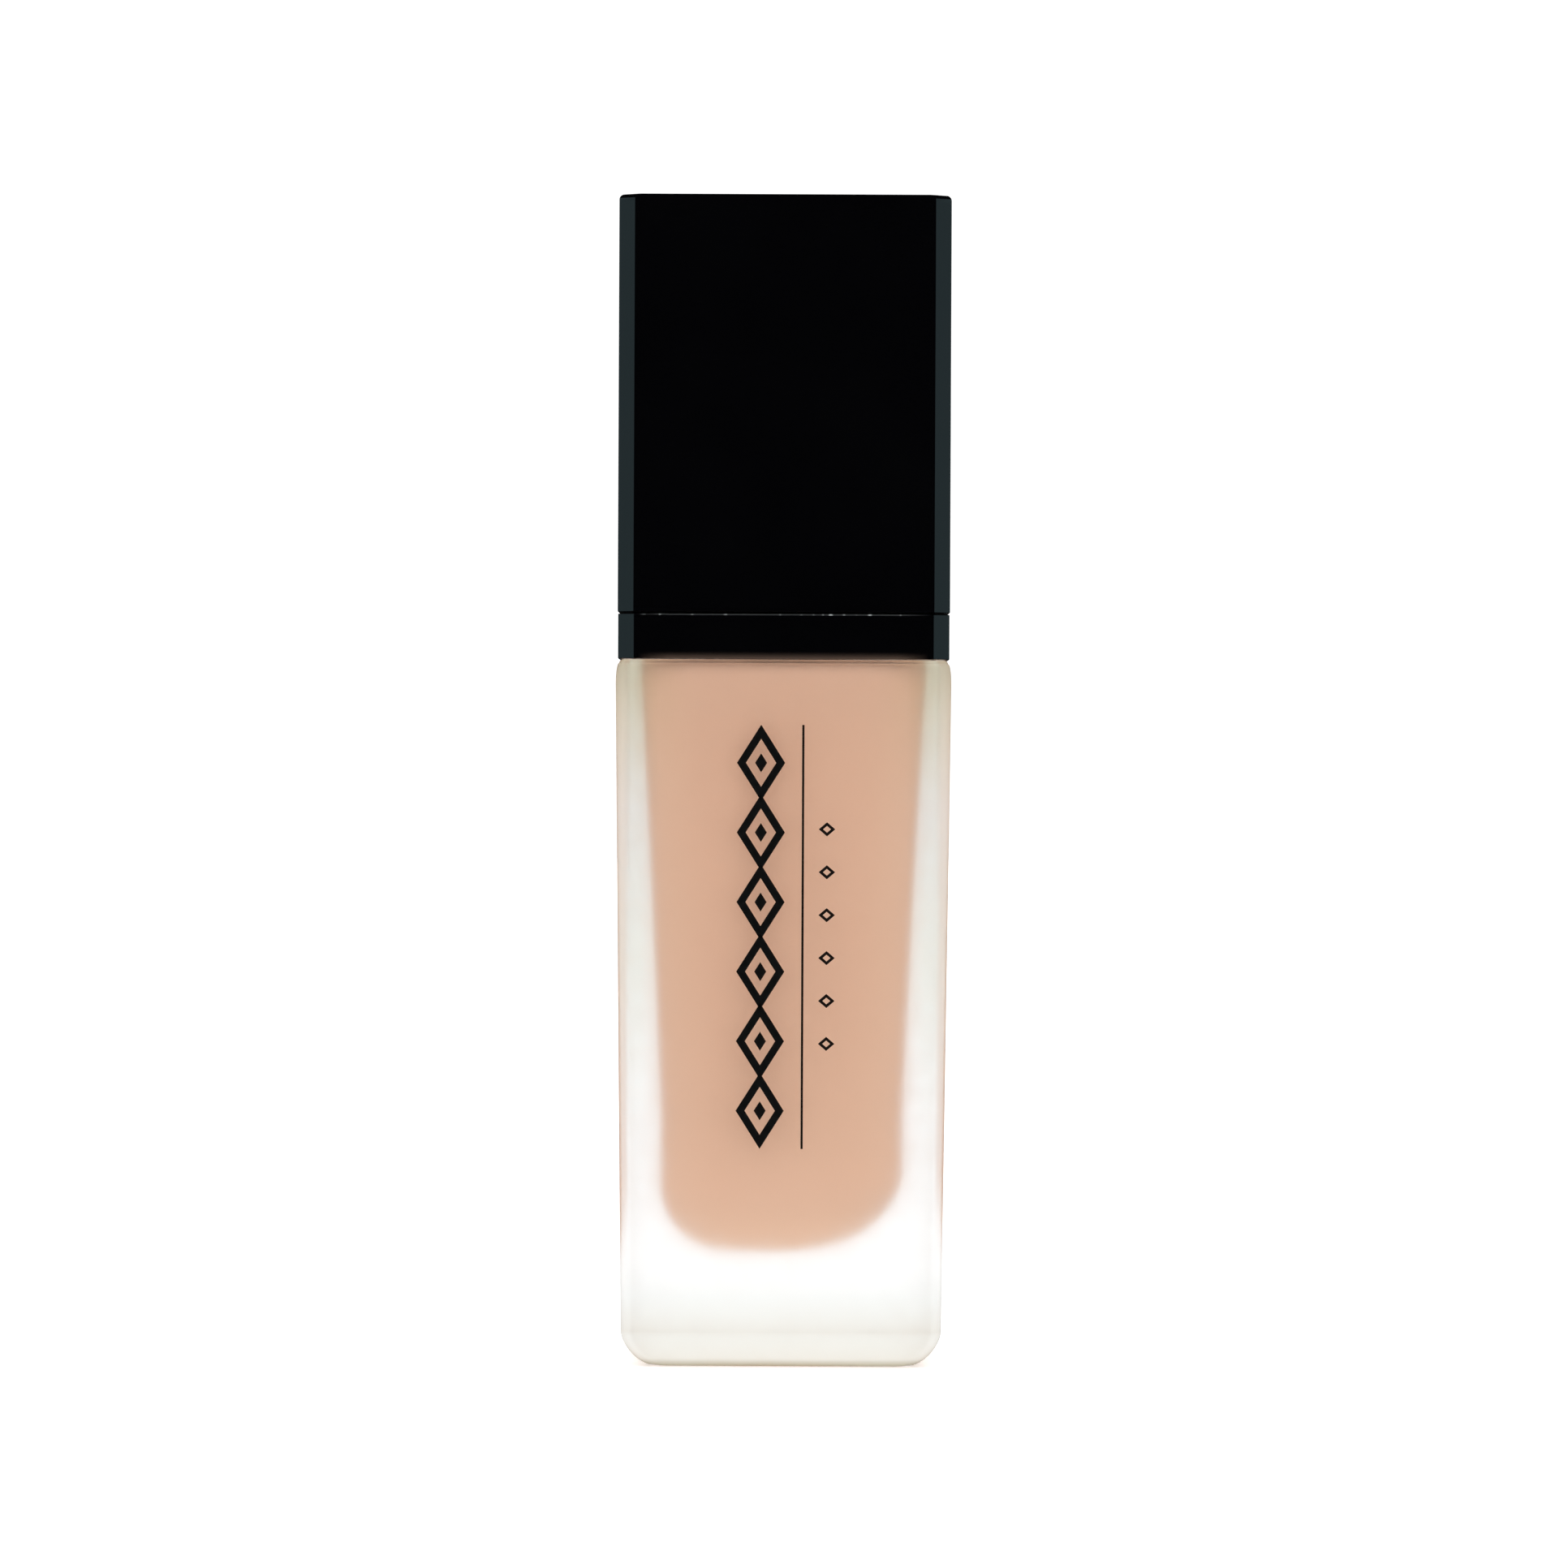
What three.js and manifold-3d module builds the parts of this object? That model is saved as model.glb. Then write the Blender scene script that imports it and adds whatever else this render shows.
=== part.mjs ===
// A 30 ml square foundation bottle: a heavy glass bottle with a screw-on treatment pump,
// a square collar in line with the glass and a tall pull-off overcap.
//
// Millimetres, +Z up. The origin is at the centre of the base. The front faces -Y, which is
// also the way the pump's spout points. Every piece is modelled about the bottle's axis.

import * as THREE from "three";
import { mergeVertices } from "three/addons/utils/BufferGeometryUtils.js";
import Module from "manifold-3d";

const wasm = await Module();
wasm.setup();

// ---------------------------------------------------------------- driving dimensions

const SEAT = 0.05; // gap between two faces that rest on each other
const RUN = 0.1; // radial gap between a sliding piece and its bore
const SEAM = 0.2; // open seam between two outer shells

const SHOULDER = 70.7; // height of the glass body
const BODY_HALF = 16.75; // half width of the glass at the shoulder
const HEEL_HALF = 16.0; // half width of the glass at the heel
const BODY_CORNER = 1.2; // radius of the glass's upright corners

const NECK_TOP = SHOULDER + 15; // height of the neck finish
const NECK_R = 7.7;
const NECK_BORE = 5.2;
const THREAD_PITCH = 3.175; // eight threads to the inch
const THREAD_CREST = 8.85;

const CAVITY_FLOOR = 11.3; // thickness of the heavy glass foot
const CAVITY_TOP = SHOULDER - 0.4;
const LAND_TOP = SHOULDER + 0.9; // round land under the collar that thickens the shoulder
const LAND_R = 15;

const COLLAR_HALF = 16.55;
const COLLAR_HEIGHT = 4.35; // the square band seen between the glass and the overcap
const CAP_HALF = 16.6;
const CAP_HEIGHT = 41.7;
const CORNER_CHAMFER = 1.6; // flat on each upright corner of the collar and the overcap

const STROKE = 4.5; // travel of the pump
const STEM_R = 1.9;
const BARREL_BORE = 3.5;
const HEAD_R = 7; // pump head
const HEAD_HEIGHT = 16.8;
const SPOUT_REACH = 11.8;

// ---------------------------------------------------------------- levels that follow from them

const COLLAR_BOTTOM = SHOULDER + SEAM;
const COLLAR_DECK = COLLAR_BOTTOM + COLLAR_HEIGHT;
const CAP_BOTTOM = COLLAR_DECK + SEAM;
const CAP_TOP = CAP_BOTTOM + CAP_HEIGHT;

const GASKET_BOTTOM = NECK_TOP + SEAT;
const FLANGE_BOTTOM = GASKET_BOTTOM + 1 + SEAT; // the barrel's flange lies on the gasket
const FLANGE_TOP = FLANGE_BOTTOM + 1.2;
const CLOSURE_TOP = FLANGE_TOP + SEAT + 1.2;
const COLLAR_TOP = CLOSURE_TOP + SEAT + 1.1;
const HEAD_BOTTOM = COLLAR_TOP + SEAM + STROKE;
const HEAD_TOP = HEAD_BOTTOM + HEAD_HEIGHT;
const SPOUT_Z = HEAD_TOP - 5.4;

const SPRING_FLOOR = 65; // ledge in the barrel that carries the spring
const VALVE_HEAD = 78; // top face of the valve pin's head
const STEM_STOP = 83.2; // top face of the stem's stop flange
const STEM_TOP = 104;
const TUBE_TOP = 59.6;
const TUBE_TIP = CAVITY_FLOOR + 1.9;

const ROUND = 40; // facets of a round piece that shows
const INNER_ROUND = 24; // facets of a round piece inside the pump

// ---------------------------------------------------------------- materials

function plastic(color, roughness) {
  return new THREE.MeshStandardMaterial({ color, roughness, metalness: 0 });
}

const materials = {
  frostedGlass: new THREE.MeshStandardMaterial({
    color: 0xeff0ea,
    roughness: 0.55,
    metalness: 0,
    transparent: true,
    opacity: 0.45,
  }),
  foundation: plastic(0xd8af94, 0.5),
  glossBlack: plastic(0x050507, 0.12),
  satinBlack: plastic(0x101214, 0.45),
  clearPlastic: plastic(0xe4e6e4, 0.35),
  whitePlastic: plastic(0xf2f2ee, 0.4),
  softWhite: plastic(0xe9e9e3, 0.6),
  steel: new THREE.MeshStandardMaterial({ color: 0xb9bcc0, roughness: 0.25, metalness: 1 }),
};

// ---------------------------------------------------------------- shape helpers

const UP = new THREE.Vector3(0, 0, 1);

function solid(geometry) {
  const bare = geometry.clone();
  bare.deleteAttribute("normal");
  bare.deleteAttribute("uv");
  const merged = mergeVertices(bare, 1e-4);
  const mesh = new wasm.Mesh({
    numProp: 3,
    vertProperties: merged.attributes.position.array,
    triVerts: new Uint32Array(merged.index.array),
  });
  return new wasm.Manifold(mesh);
}

function meshOf(name, shape, material) {
  const { vertProperties, triVerts } = shape.getMesh();
  const geometry = new THREE.BufferGeometry();
  geometry.setAttribute("position", new THREE.BufferAttribute(vertProperties, 3));
  geometry.setIndex(new THREE.BufferAttribute(triVerts, 1));
  const flat = geometry.toNonIndexed();
  flat.computeVertexNormals();
  const mesh = new THREE.Mesh(flat, material);
  mesh.name = name;
  return mesh;
}

// A profile is a list of [radius, z], anticlockwise round the material. One that starts and
// ends on the axis makes a filled piece, and a closed one makes a ring.
function latheGeometry(profile, facets) {
  const points = profile.map(([radius, z]) => new THREE.Vector2(radius, z));
  return new THREE.LatheGeometry(points, facets).rotateX(Math.PI / 2);
}

function filled(profile, facets = ROUND) {
  return solid(latheGeometry(profile, facets));
}

function ring(profile, facets = ROUND) {
  return filled([...profile, profile[0]], facets);
}

function tube(inner, outer, bottom, top, facets = ROUND) {
  const section = [
    [inner, bottom],
    [outer, bottom],
    [outer, top],
    [inner, top],
  ];
  return ring(section, facets);
}

function rod(radius, bottom, top, facets = ROUND) {
  const section = [
    [0, bottom],
    [radius, bottom],
    [radius, top],
    [0, top],
  ];
  return filled(section, facets);
}

// A cylinder that lies along Y, from one y to another, centred at height z.
function crossRod(radius, fromY, toY, z, facets = INNER_ROUND, farRadius = radius) {
  const length = Math.abs(toY - fromY);
  const geometry = new THREE.CylinderGeometry(farRadius, radius, length, facets);
  if (toY < fromY) geometry.rotateX(Math.PI);
  return solid(geometry.translate(0, (fromY + toY) / 2, z));
}

function block(sizeX, sizeY, bottom, top, x = 0, y = 0, turn = 0) {
  const geometry = new THREE.BoxGeometry(sizeX, sizeY, top - bottom);
  geometry.translate(x, y, (bottom + top) / 2);
  return solid(geometry.rotateZ(turn));
}

// Points of a quarter circle in a profile: centre, radius, then from one angle to another.
function arc(centreR, centreZ, radius, fromDegrees, toDegrees, steps) {
  return Array.from({ length: steps + 1 }, (_, i) => {
    const angle = THREE.MathUtils.degToRad(fromDegrees + ((toDegrees - fromDegrees) * i) / steps);
    return [centreR + radius * Math.cos(angle), centreZ + radius * Math.sin(angle)];
  });
}

// Turns a lathe's round section into a square one with rounded corners. A profile's radius
// becomes the half width across the flats. One corner step makes a flat 45 degree chamfer.
// uneven(point) may then move each point, for a wall that isn't regular.
function squared(profile, cornerRadius, cornerSteps, uneven = (point) => point) {
  const stepsPerSide = cornerSteps + 2;
  const facets = 4 * stepsPerSide;
  const geometry = latheGeometry(profile, facets);
  const position = geometry.attributes.position;
  const point = new THREE.Vector3();
  for (let i = 0; i < position.count; i += 1) {
    point.fromBufferAttribute(position, i);
    const half = Math.hypot(point.x, point.y);
    if (half > 1e-6) {
      const corner = Math.min(cornerRadius, half);
      const turn = Math.atan2(point.x, -point.y) / (2 * Math.PI);
      const column = Math.round((turn + 1) * facets) % facets;
      const step = column % stepsPerSide;
      const sweep = ((step - 1) / cornerSteps) * (Math.PI / 2);
      const forward = step === 0 ? half : half - corner + corner * Math.cos(sweep);
      const sideways = step === 0 ? 0 : half - corner + corner * Math.sin(sweep);
      point.set(sideways, -forward, point.z);
      point.applyAxisAngle(UP, (Math.floor(column / stepsPerSide) * Math.PI) / 2);
    }
    uneven(point);
    position.setXYZ(i, point.x, point.y, point.z);
  }
  return solid(geometry);
}

const RIDGE_STEPS = 24; // steps of a ridge in a turn
const RIDGE_TWIST = Math.PI / 120; // keeps the ridge's edges off the edges of the wall's facets
const RIDGE_ROOT = 0.3; // how far the ridge starts inside the wall
const RIDGE_RUN_OUT = 0.2; // turns over which an end sinks towards the wall
const RIDGE_END = 0.4; // share of its height that a ridge has at its ends

// A screw ridge of trapezoid section, right-handed. It is a straight bar bent round the axis:
// the bar's length becomes the angle.
function screwRidge({ rootR, crestR, rootWidth, crestWidth, startZ, turns }) {
  const steps = Math.round(turns * RIDGE_STEPS);
  const section = new THREE.Shape([
    new THREE.Vector2(-rootWidth / 2, 0),
    new THREE.Vector2(rootWidth / 2, 0),
    new THREE.Vector2(crestWidth / 2, 1),
    new THREE.Vector2(-crestWidth / 2, 1),
  ]);
  const bar = new THREE.ExtrudeGeometry(section, { depth: turns, steps, bevelEnabled: false });
  const position = bar.attributes.position;
  const outward = Math.sign(crestR - rootR);
  const root = rootR - RIDGE_ROOT * outward;
  for (let i = 0; i < position.count; i += 1) {
    const along = position.getZ(i);
    const runOut = Math.min(1, along / RIDGE_RUN_OUT, (turns - along) / RIDGE_RUN_OUT);
    const height = position.getY(i) * Math.max(RIDGE_END, runOut);
    const radius = root + (crestR - root) * height;
    const angle = along * 2 * Math.PI + RIDGE_TWIST;
    const z = startZ + outward * position.getX(i) + along * THREAD_PITCH;
    position.setXYZ(i, radius * Math.cos(angle), radius * Math.sin(angle), z);
  }
  return solid(bar);
}

// ---------------------------------------------------------------- glass bottle and its fill

const HEEL_IN = 3.2;
const HEEL_UP = 3.6;
const HEEL_POWER = 1.6; // between a flat chamfer, 1, and a round heel, 2
const GLASS_CORNER_STEPS = 4;

function glassOuter() {
  const heel = Array.from({ length: 7 }, (_, i) => {
    const sweep = (i / 6) * (Math.PI / 2);
    const out = Math.sin(sweep) ** (2 / HEEL_POWER);
    const up = 1 - Math.cos(sweep) ** (2 / HEEL_POWER);
    return [HEEL_HALF - HEEL_IN + HEEL_IN * out, HEEL_UP * up];
  });
  const profile = [
    [0, 0],
    ...heel,
    [BODY_HALF, SHOULDER - 2.4],
    [BODY_HALF - 0.12, SHOULDER - 1.2],
    ...arc(BODY_HALF - 0.8, SHOULDER - 0.5, 0.5, 10, 90, 3),
    [0, SHOULDER],
  ];
  return squared(profile, BODY_CORNER, GLASS_CORNER_STEPS);
}

// The blown cavity is a tapered square with a bowl-shaped floor. The floor is thicker on the
// right, where it curves up earlier.
const CAVITY_CORNER = 6;
const CAVITY_FLOOR_HALF = 12.2;
const CAVITY_TOP_HALF = 14.4;
const FLOOR_RADIUS = 6.8;
const FLOOR_CURVE = 0.0165; // rise of the floor in millimetres per square millimetre
const STRAIGHT_FROM = CAVITY_FLOOR + 13; // above this height the wall is regular

function cavityHalf(z) {
  const share = Math.max(0, (z - STRAIGHT_FROM) / (CAVITY_TOP - STRAIGHT_FROM));
  return THREE.MathUtils.lerp(CAVITY_FLOOR_HALF, CAVITY_TOP_HALF, share ** 1.1);
}

function unevenFloor(point) {
  const fade = THREE.MathUtils.clamp((STRAIGHT_FROM - point.z) / (STRAIGHT_FROM - CAVITY_FLOOR), 0, 1);
  const toRight = Math.max(0, point.x + 1);
  point.z += FLOOR_CURVE * toRight ** 2 * fade;
}

function cavity(inset, top) {
  const wallSteps = 7;
  const radius = FLOOR_RADIUS - inset;
  const wall = Array.from({ length: wallSteps }, (_, i) => {
    const z = THREE.MathUtils.lerp(STRAIGHT_FROM, top - 1, i / (wallSteps - 1));
    return [cavityHalf(z) - inset, z];
  });
  const profile = [
    [0, CAVITY_FLOOR + inset],
    ...arc(CAVITY_FLOOR_HALF - FLOOR_RADIUS, CAVITY_FLOOR + FLOOR_RADIUS, radius, 270, 360, 6),
    ...wall,
    ...arc(cavityHalf(top) - inset - 0.8, top - 0.8, 0.8, 30, 90, 2),
    [0, top],
  ];
  return squared(profile, CAVITY_CORNER, GLASS_CORNER_STEPS, unevenFloor);
}

const BOTTLE_THREAD = {
  rootR: NECK_R,
  crestR: THREAD_CREST,
  rootWidth: 1.9,
  crestWidth: 0.7,
  startZ: NECK_TOP - 7.8,
  turns: 1.75,
};

function glassBottle() {
  const neck = filled([
    [0, SHOULDER - 0.2],
    [LAND_R, SHOULDER - 0.2],
    [LAND_R, LAND_TOP - 0.3],
    [LAND_R - 0.3, LAND_TOP],
    ...arc(NECK_R + 0.8, LAND_TOP + 0.8, 0.8, 270, 180, 3),
    [NECK_R, NECK_TOP - 0.6],
    ...arc(NECK_R - 0.6, NECK_TOP - 0.6, 0.6, 0, 90, 3),
    [0, NECK_TOP],
  ]);
  const bore = filled([
    [0, CAVITY_TOP - 3],
    [NECK_BORE, CAVITY_TOP - 3],
    [NECK_BORE, NECK_TOP - 0.4],
    [NECK_BORE + 0.5, NECK_TOP + 0.1],
    [0, NECK_TOP + 0.1],
  ]);
  const basePanel = squared(
    [
      [0, -1],
      [10.6, -1],
      [10.4, 0],
      [9.6, 0.7],
      [0, 0.9],
    ],
    3.5,
    5,
  );
  return glassOuter()
    .add(neck)
    .add(screwRidge(BOTTLE_THREAD))
    .subtract(cavity(0, CAVITY_TOP))
    .subtract(bore)
    .subtract(basePanel);
}

const FILL_GAP = 0.15; // between the foundation and the wall of the cavity

// The foundation fills the cavity to just under the shoulder. It leaves room for the pump's
// barrel and dip tube, which hang in it.
function foundationFill() {
  const room = 0.4;
  const bottom = TUBE_TIP - 0.9;
  const pumpRoom = filled(
    [
      [0, bottom],
      [TUBE_R + room, bottom],
      [TUBE_R + room, TAIL_BOTTOM - room],
      [TAIL_R + room, TAIL_BOTTOM - room],
      [TAIL_R + room, CONE_BOTTOM - room],
      [BARREL_R + room, CONE_TOP - room],
      [BARREL_R + room, SHOULDER],
      [0, SHOULDER],
    ],
    INNER_ROUND,
  );
  return cavity(FILL_GAP, CAVITY_TOP - FILL_GAP).subtract(pumpRoom);
}

// ---------------------------------------------------------------- closure and collar

const CLOSURE_BORE = 9.15;
const CLOSURE_R = 10.3;
const SPLINE_R = 10.7;
const SPLINES = 24;

function neckGasket() {
  return tube(NECK_BORE + 0.4, NECK_R, GASKET_BOTTOM, GASKET_BOTTOM + 1);
}

// The closure's ridge follows the bottle's thread, just under it.
const CLOSURE_THREAD = {
  rootR: CLOSURE_BORE,
  crestR: NECK_R + 0.25,
  rootWidth: 1.3,
  crestWidth: 0.6,
  startZ: BOTTLE_THREAD.startZ - 1.35,
  turns: 1.5,
};

function screwClosure() {
  const bottom = SHOULDER + 1.7;
  let shape = ring([
    [CLOSURE_BORE + 0.35, bottom],
    [CLOSURE_R, bottom],
    [CLOSURE_R, CLOSURE_TOP - 0.4],
    [CLOSURE_R - 0.4, CLOSURE_TOP],
    [6.2, CLOSURE_TOP],
    [6.2, FLANGE_TOP + SEAT],
    [CLOSURE_BORE, FLANGE_TOP + SEAT],
    [CLOSURE_BORE, bottom + 0.35],
  ]).add(screwRidge(CLOSURE_THREAD));
  for (let i = 0; i < SPLINES; i += 1) {
    const middle = (CLOSURE_R + SPLINE_R) / 2 - 0.1;
    const depth = SPLINE_R - CLOSURE_R + 0.2;
    const turn = (i * 2 * Math.PI) / SPLINES;
    shape = shape.add(block(0.8, depth, bottom + 0.6, CLOSURE_TOP - 1, 0, -middle, turn));
  }
  return shape;
}

const SLEEVE_BORE = SPLINE_R + 0.2;
const SLEEVE_R = 12.1;
const SLEEVE_BOTTOM = LAND_TOP + 0.1;

// The collar is a shallow square tray, open underneath, with a round sleeve that covers the
// closure. A bead near the sleeve's top holds the overcap.
function collarShell() {
  const outer = squared(
    [
      [0, COLLAR_BOTTOM],
      [COLLAR_HALF - 0.15, COLLAR_BOTTOM],
      [COLLAR_HALF, COLLAR_BOTTOM + 0.15],
      [COLLAR_HALF, COLLAR_DECK - 0.3],
      [COLLAR_HALF - 0.09, COLLAR_DECK - 0.09],
      [COLLAR_HALF - 0.3, COLLAR_DECK],
      [0, COLLAR_DECK],
    ],
    CORNER_CHAMFER,
    1,
  );
  const wall = 1.3;
  const hollow = squared(
    [
      [0, COLLAR_BOTTOM - 1],
      [COLLAR_HALF - wall, COLLAR_BOTTOM - 1],
      [COLLAR_HALF - wall, COLLAR_DECK - 1.2],
      [0, COLLAR_DECK - 1.2],
    ],
    1,
    1,
  );
  const beadZ = COLLAR_TOP - 4.5;
  const sleeve = filled([
    [0, SLEEVE_BOTTOM],
    [SLEEVE_R, SLEEVE_BOTTOM],
    [SLEEVE_R, beadZ - 0.4],
    [SLEEVE_R + 0.2, beadZ],
    [SLEEVE_R, beadZ + 0.4],
    [SLEEVE_R, COLLAR_TOP - 0.7],
    ...arc(SLEEVE_R - 0.7, COLLAR_TOP - 0.7, 0.7, 30, 90, 2),
    [0, COLLAR_TOP],
  ]);
  const bore = rod(SLEEVE_BORE, COLLAR_BOTTOM - 1, CLOSURE_TOP + SEAT);
  const mouth = rod(7.6, CLOSURE_TOP - 1, COLLAR_TOP + 1);
  let shape = outer.subtract(hollow);
  for (let i = 0; i < 4; i += 1) {
    const turn = Math.PI / 4 + (i * Math.PI) / 2;
    shape = shape.add(block(1, 10.6, SLEEVE_BOTTOM, COLLAR_DECK - 0.6, 0, -16, turn));
  }
  return shape.add(sleeve).subtract(bore).subtract(mouth);
}

// ---------------------------------------------------------------- pump

const BARREL_R = 4.6;
const TAIL_R = 3;
const TUBE_R = 1.85;
const TAIL_BOTTOM = 51.9;
const CONE_BOTTOM = 62; // the barrel narrows to its tail between these heights
const CONE_TOP = 64.6;
const UPSTAND_R = 4.7;
const UPSTAND_TOP = FLANGE_TOP + 2.6;
const BALL_R = 1.2;
const BALL_Z = 61.5;

// The barrel holds the piston and spring above, the ball valve under them, and the dip
// tube's socket at the bottom. A small hole in its side lets air into the bottle.
function pumpHousing() {
  const barrel = ring(
    [
      [TUBE_R + RUN, TAIL_BOTTOM],
      [TAIL_R, TAIL_BOTTOM],
      [TAIL_R, CONE_BOTTOM],
      [BARREL_R, CONE_TOP],
      [BARREL_R, FLANGE_BOTTOM],
      [NECK_R, FLANGE_BOTTOM],
      [NECK_R, FLANGE_TOP],
      [UPSTAND_R, FLANGE_TOP],
      [UPSTAND_R, UPSTAND_TOP],
      [BARREL_BORE, UPSTAND_TOP],
      [BARREL_BORE, SPRING_FLOOR],
      [BALL_R - 0.15, SPRING_FLOOR],
      [BALL_R - 0.15, BALL_Z + 2.4],
      [BALL_R + 0.6, BALL_Z + 1.9],
      [BALL_R + 0.6, BALL_Z + 0.4],
      [0.9, BALL_Z - 0.9],
      [0.9, TUBE_TOP + SEAT],
      [TUBE_R + RUN, TUBE_TOP + SEAT],
    ],
    INNER_ROUND,
  );
  const vent = crossRod(0.4, 2, 6, STEM_STOP - 0.8, 8);
  return barrel.subtract(vent);
}

// The cap of the barrel guides the stem and stops it at the top of its stroke.
function housingCap() {
  return ring(
    [
      [STEM_R + RUN, STEM_STOP + RUN],
      [BARREL_BORE - 0.15, STEM_STOP + RUN],
      [BARREL_BORE - 0.15, UPSTAND_TOP + SEAT],
      [UPSTAND_R + 0.1, UPSTAND_TOP + SEAT],
      [UPSTAND_R + 0.1, FLANGE_TOP + SEAT],
      [5.7, FLANGE_TOP + SEAT],
      [5.75, UPSTAND_TOP + 0.9],
      [5.45, UPSTAND_TOP + 1.2],
      [3.8, UPSTAND_TOP + 1.2],
      [3.6, UPSTAND_TOP + 3.6],
      [3.3, UPSTAND_TOP + 3.9],
      [STEM_R + RUN, UPSTAND_TOP + 3.9],
    ],
    INNER_ROUND,
  );
}

// The stem is a hollow rod. Foundation enters it through two ports behind the piston.
function pumpStem() {
  const body = ring(
    [
      [1, VALVE_HEAD + SEAT],
      [STEM_R, VALVE_HEAD + SEAT],
      [STEM_R, STEM_STOP - 1],
      [3, STEM_STOP - 1],
      [3, STEM_STOP],
      [STEM_R, STEM_STOP],
      [STEM_R, STEM_TOP - 0.3],
      [STEM_R - 0.3, STEM_TOP],
      [1, STEM_TOP],
    ],
    INNER_ROUND,
  );
  return body.subtract(crossRod(0.45, -3, 3, VALVE_HEAD + 1.9, 8));
}

// The valve pin closes the stem's lower end. Its head seals against the piston, and its
// tail guides the spring.
function valvePin() {
  return filled(
    [
      [0, VALVE_HEAD - 7.5],
      [1, VALVE_HEAD - 7.5],
      [1.5, VALVE_HEAD - 7],
      [1.5, VALVE_HEAD - 1],
      [2.7, VALVE_HEAD - 1],
      [2.8, VALVE_HEAD - 0.4],
      [2.5, VALVE_HEAD],
      [0.9, VALVE_HEAD],
      [0.9, VALVE_HEAD + 1.2],
      [0, VALVE_HEAD + 1.2],
    ],
    INNER_ROUND,
  );
}

const PISTON_LENGTH = 3.3;
const PISTON_SLIP = 0.7; // how far the stem moves before it takes the piston along

function piston() {
  const bottom = VALVE_HEAD + SEAT;
  const top = bottom + PISTON_LENGTH;
  const lip = BARREL_BORE - 0.08;
  return ring(
    [
      [2.35, bottom],
      [2.9, bottom],
      [lip, bottom + 0.1],
      [lip, bottom + 0.5],
      [2.9, bottom + 1],
      [2.9, top - 1],
      [lip, top - 0.5],
      [lip, top - 0.1],
      [2.9, top],
      [STEM_R + RUN, top],
      [STEM_R + RUN, top - 1],
      [2.35, top - 1.3],
    ],
    INNER_ROUND,
  );
}

class SpringCurve extends THREE.Curve {
  constructor(radius, bottom, top, coils, closedCoils, wire) {
    super();
    Object.assign(this, { radius, bottom, top, coils, closedCoils, wire });
  }

  // The end coils lie closed on themselves, and the rest share what height is left.
  getPoint(t, target = new THREE.Vector3()) {
    const turn = t * this.coils;
    const closedRise = this.closedCoils * this.wire * 2.1;
    const openRise = this.top - this.bottom - 2 * this.wire - 2 * closedRise;
    const openCoils = this.coils - 2 * this.closedCoils;
    const low = Math.min(turn, this.closedCoils) / this.closedCoils;
    const high = Math.max(0, turn - this.coils + this.closedCoils) / this.closedCoils;
    const middle = THREE.MathUtils.clamp((turn - this.closedCoils) / openCoils, 0, 1);
    const z = this.bottom + this.wire + closedRise * (low + high) + openRise * middle;
    const angle = turn * 2 * Math.PI;
    return target.set(this.radius * Math.cos(angle), this.radius * Math.sin(angle), z);
  }
}

function returnSpring() {
  const wire = 0.27;
  const coils = 8.5;
  const path = new SpringCurve(
    2.45,
    SPRING_FLOOR + SEAT,
    VALVE_HEAD - 1 - SEAT,
    coils,
    1,
    wire,
  );
  const section = new THREE.Shape().absarc(0, 0, wire, 0, 2 * Math.PI);
  const coil = new THREE.ExtrudeGeometry(section, {
    extrudePath: path,
    steps: Math.round(coils * 12),
    curveSegments: 3,
    bevelEnabled: false,
  });
  return solid(coil);
}

function inletBall() {
  return solid(new THREE.SphereGeometry(BALL_R, 16, 12).rotateX(Math.PI / 2).translate(0, 0, BALL_Z));
}

// The dip tube ends in a slanting cut, so that it can't seal itself against the floor.
function dipTube() {
  const pipe = tube(1.2, TUBE_R, TUBE_TIP, TUBE_TOP, 24);
  const slant = new THREE.BoxGeometry(8, 8, 4);
  slant.translate(0, 0, -2).rotateX(THREE.MathUtils.degToRad(35));
  return pipe.subtract(solid(slant.translate(0, 0, TUBE_TIP + 1.2)));
}

// ---------------------------------------------------------------- pump head

const HEAD_WALL = 0.85;
const SPOUT_R = 2.6;
const NOZZLE_R = 1.25;

// The outer button is a cup with a shallow finger dish and a short spout at the front.
function actuatorShell() {
  const cup = filled([
    [0, HEAD_BOTTOM],
    [HEAD_R - 0.2, HEAD_BOTTOM],
    [HEAD_R, HEAD_BOTTOM + 0.2],
    [HEAD_R, HEAD_TOP - 0.9],
    ...arc(HEAD_R - 0.9, HEAD_TOP - 0.9, 0.9, 30, 90, 2),
    [5.4, HEAD_TOP - 0.15],
    [3, HEAD_TOP - 0.6],
    [0, HEAD_TOP - 0.75],
  ]);
  const inside = rod(HEAD_R - HEAD_WALL, HEAD_BOTTOM - 1, HEAD_TOP - 1.7);
  const spout = crossRod(SPOUT_R, -5, -SPOUT_REACH, SPOUT_Z, INNER_ROUND, 2.3);
  const nozzleRoom = crossRod(NOZZLE_R + RUN, -4, -SPOUT_REACH, SPOUT_Z);
  const headRoom = crossRod(1.85, -SPOUT_REACH + 2.3, -SPOUT_REACH - 1, SPOUT_Z);
  return cup.add(spout).subtract(inside).subtract(nozzleRoom).subtract(headRoom);
}

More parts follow.
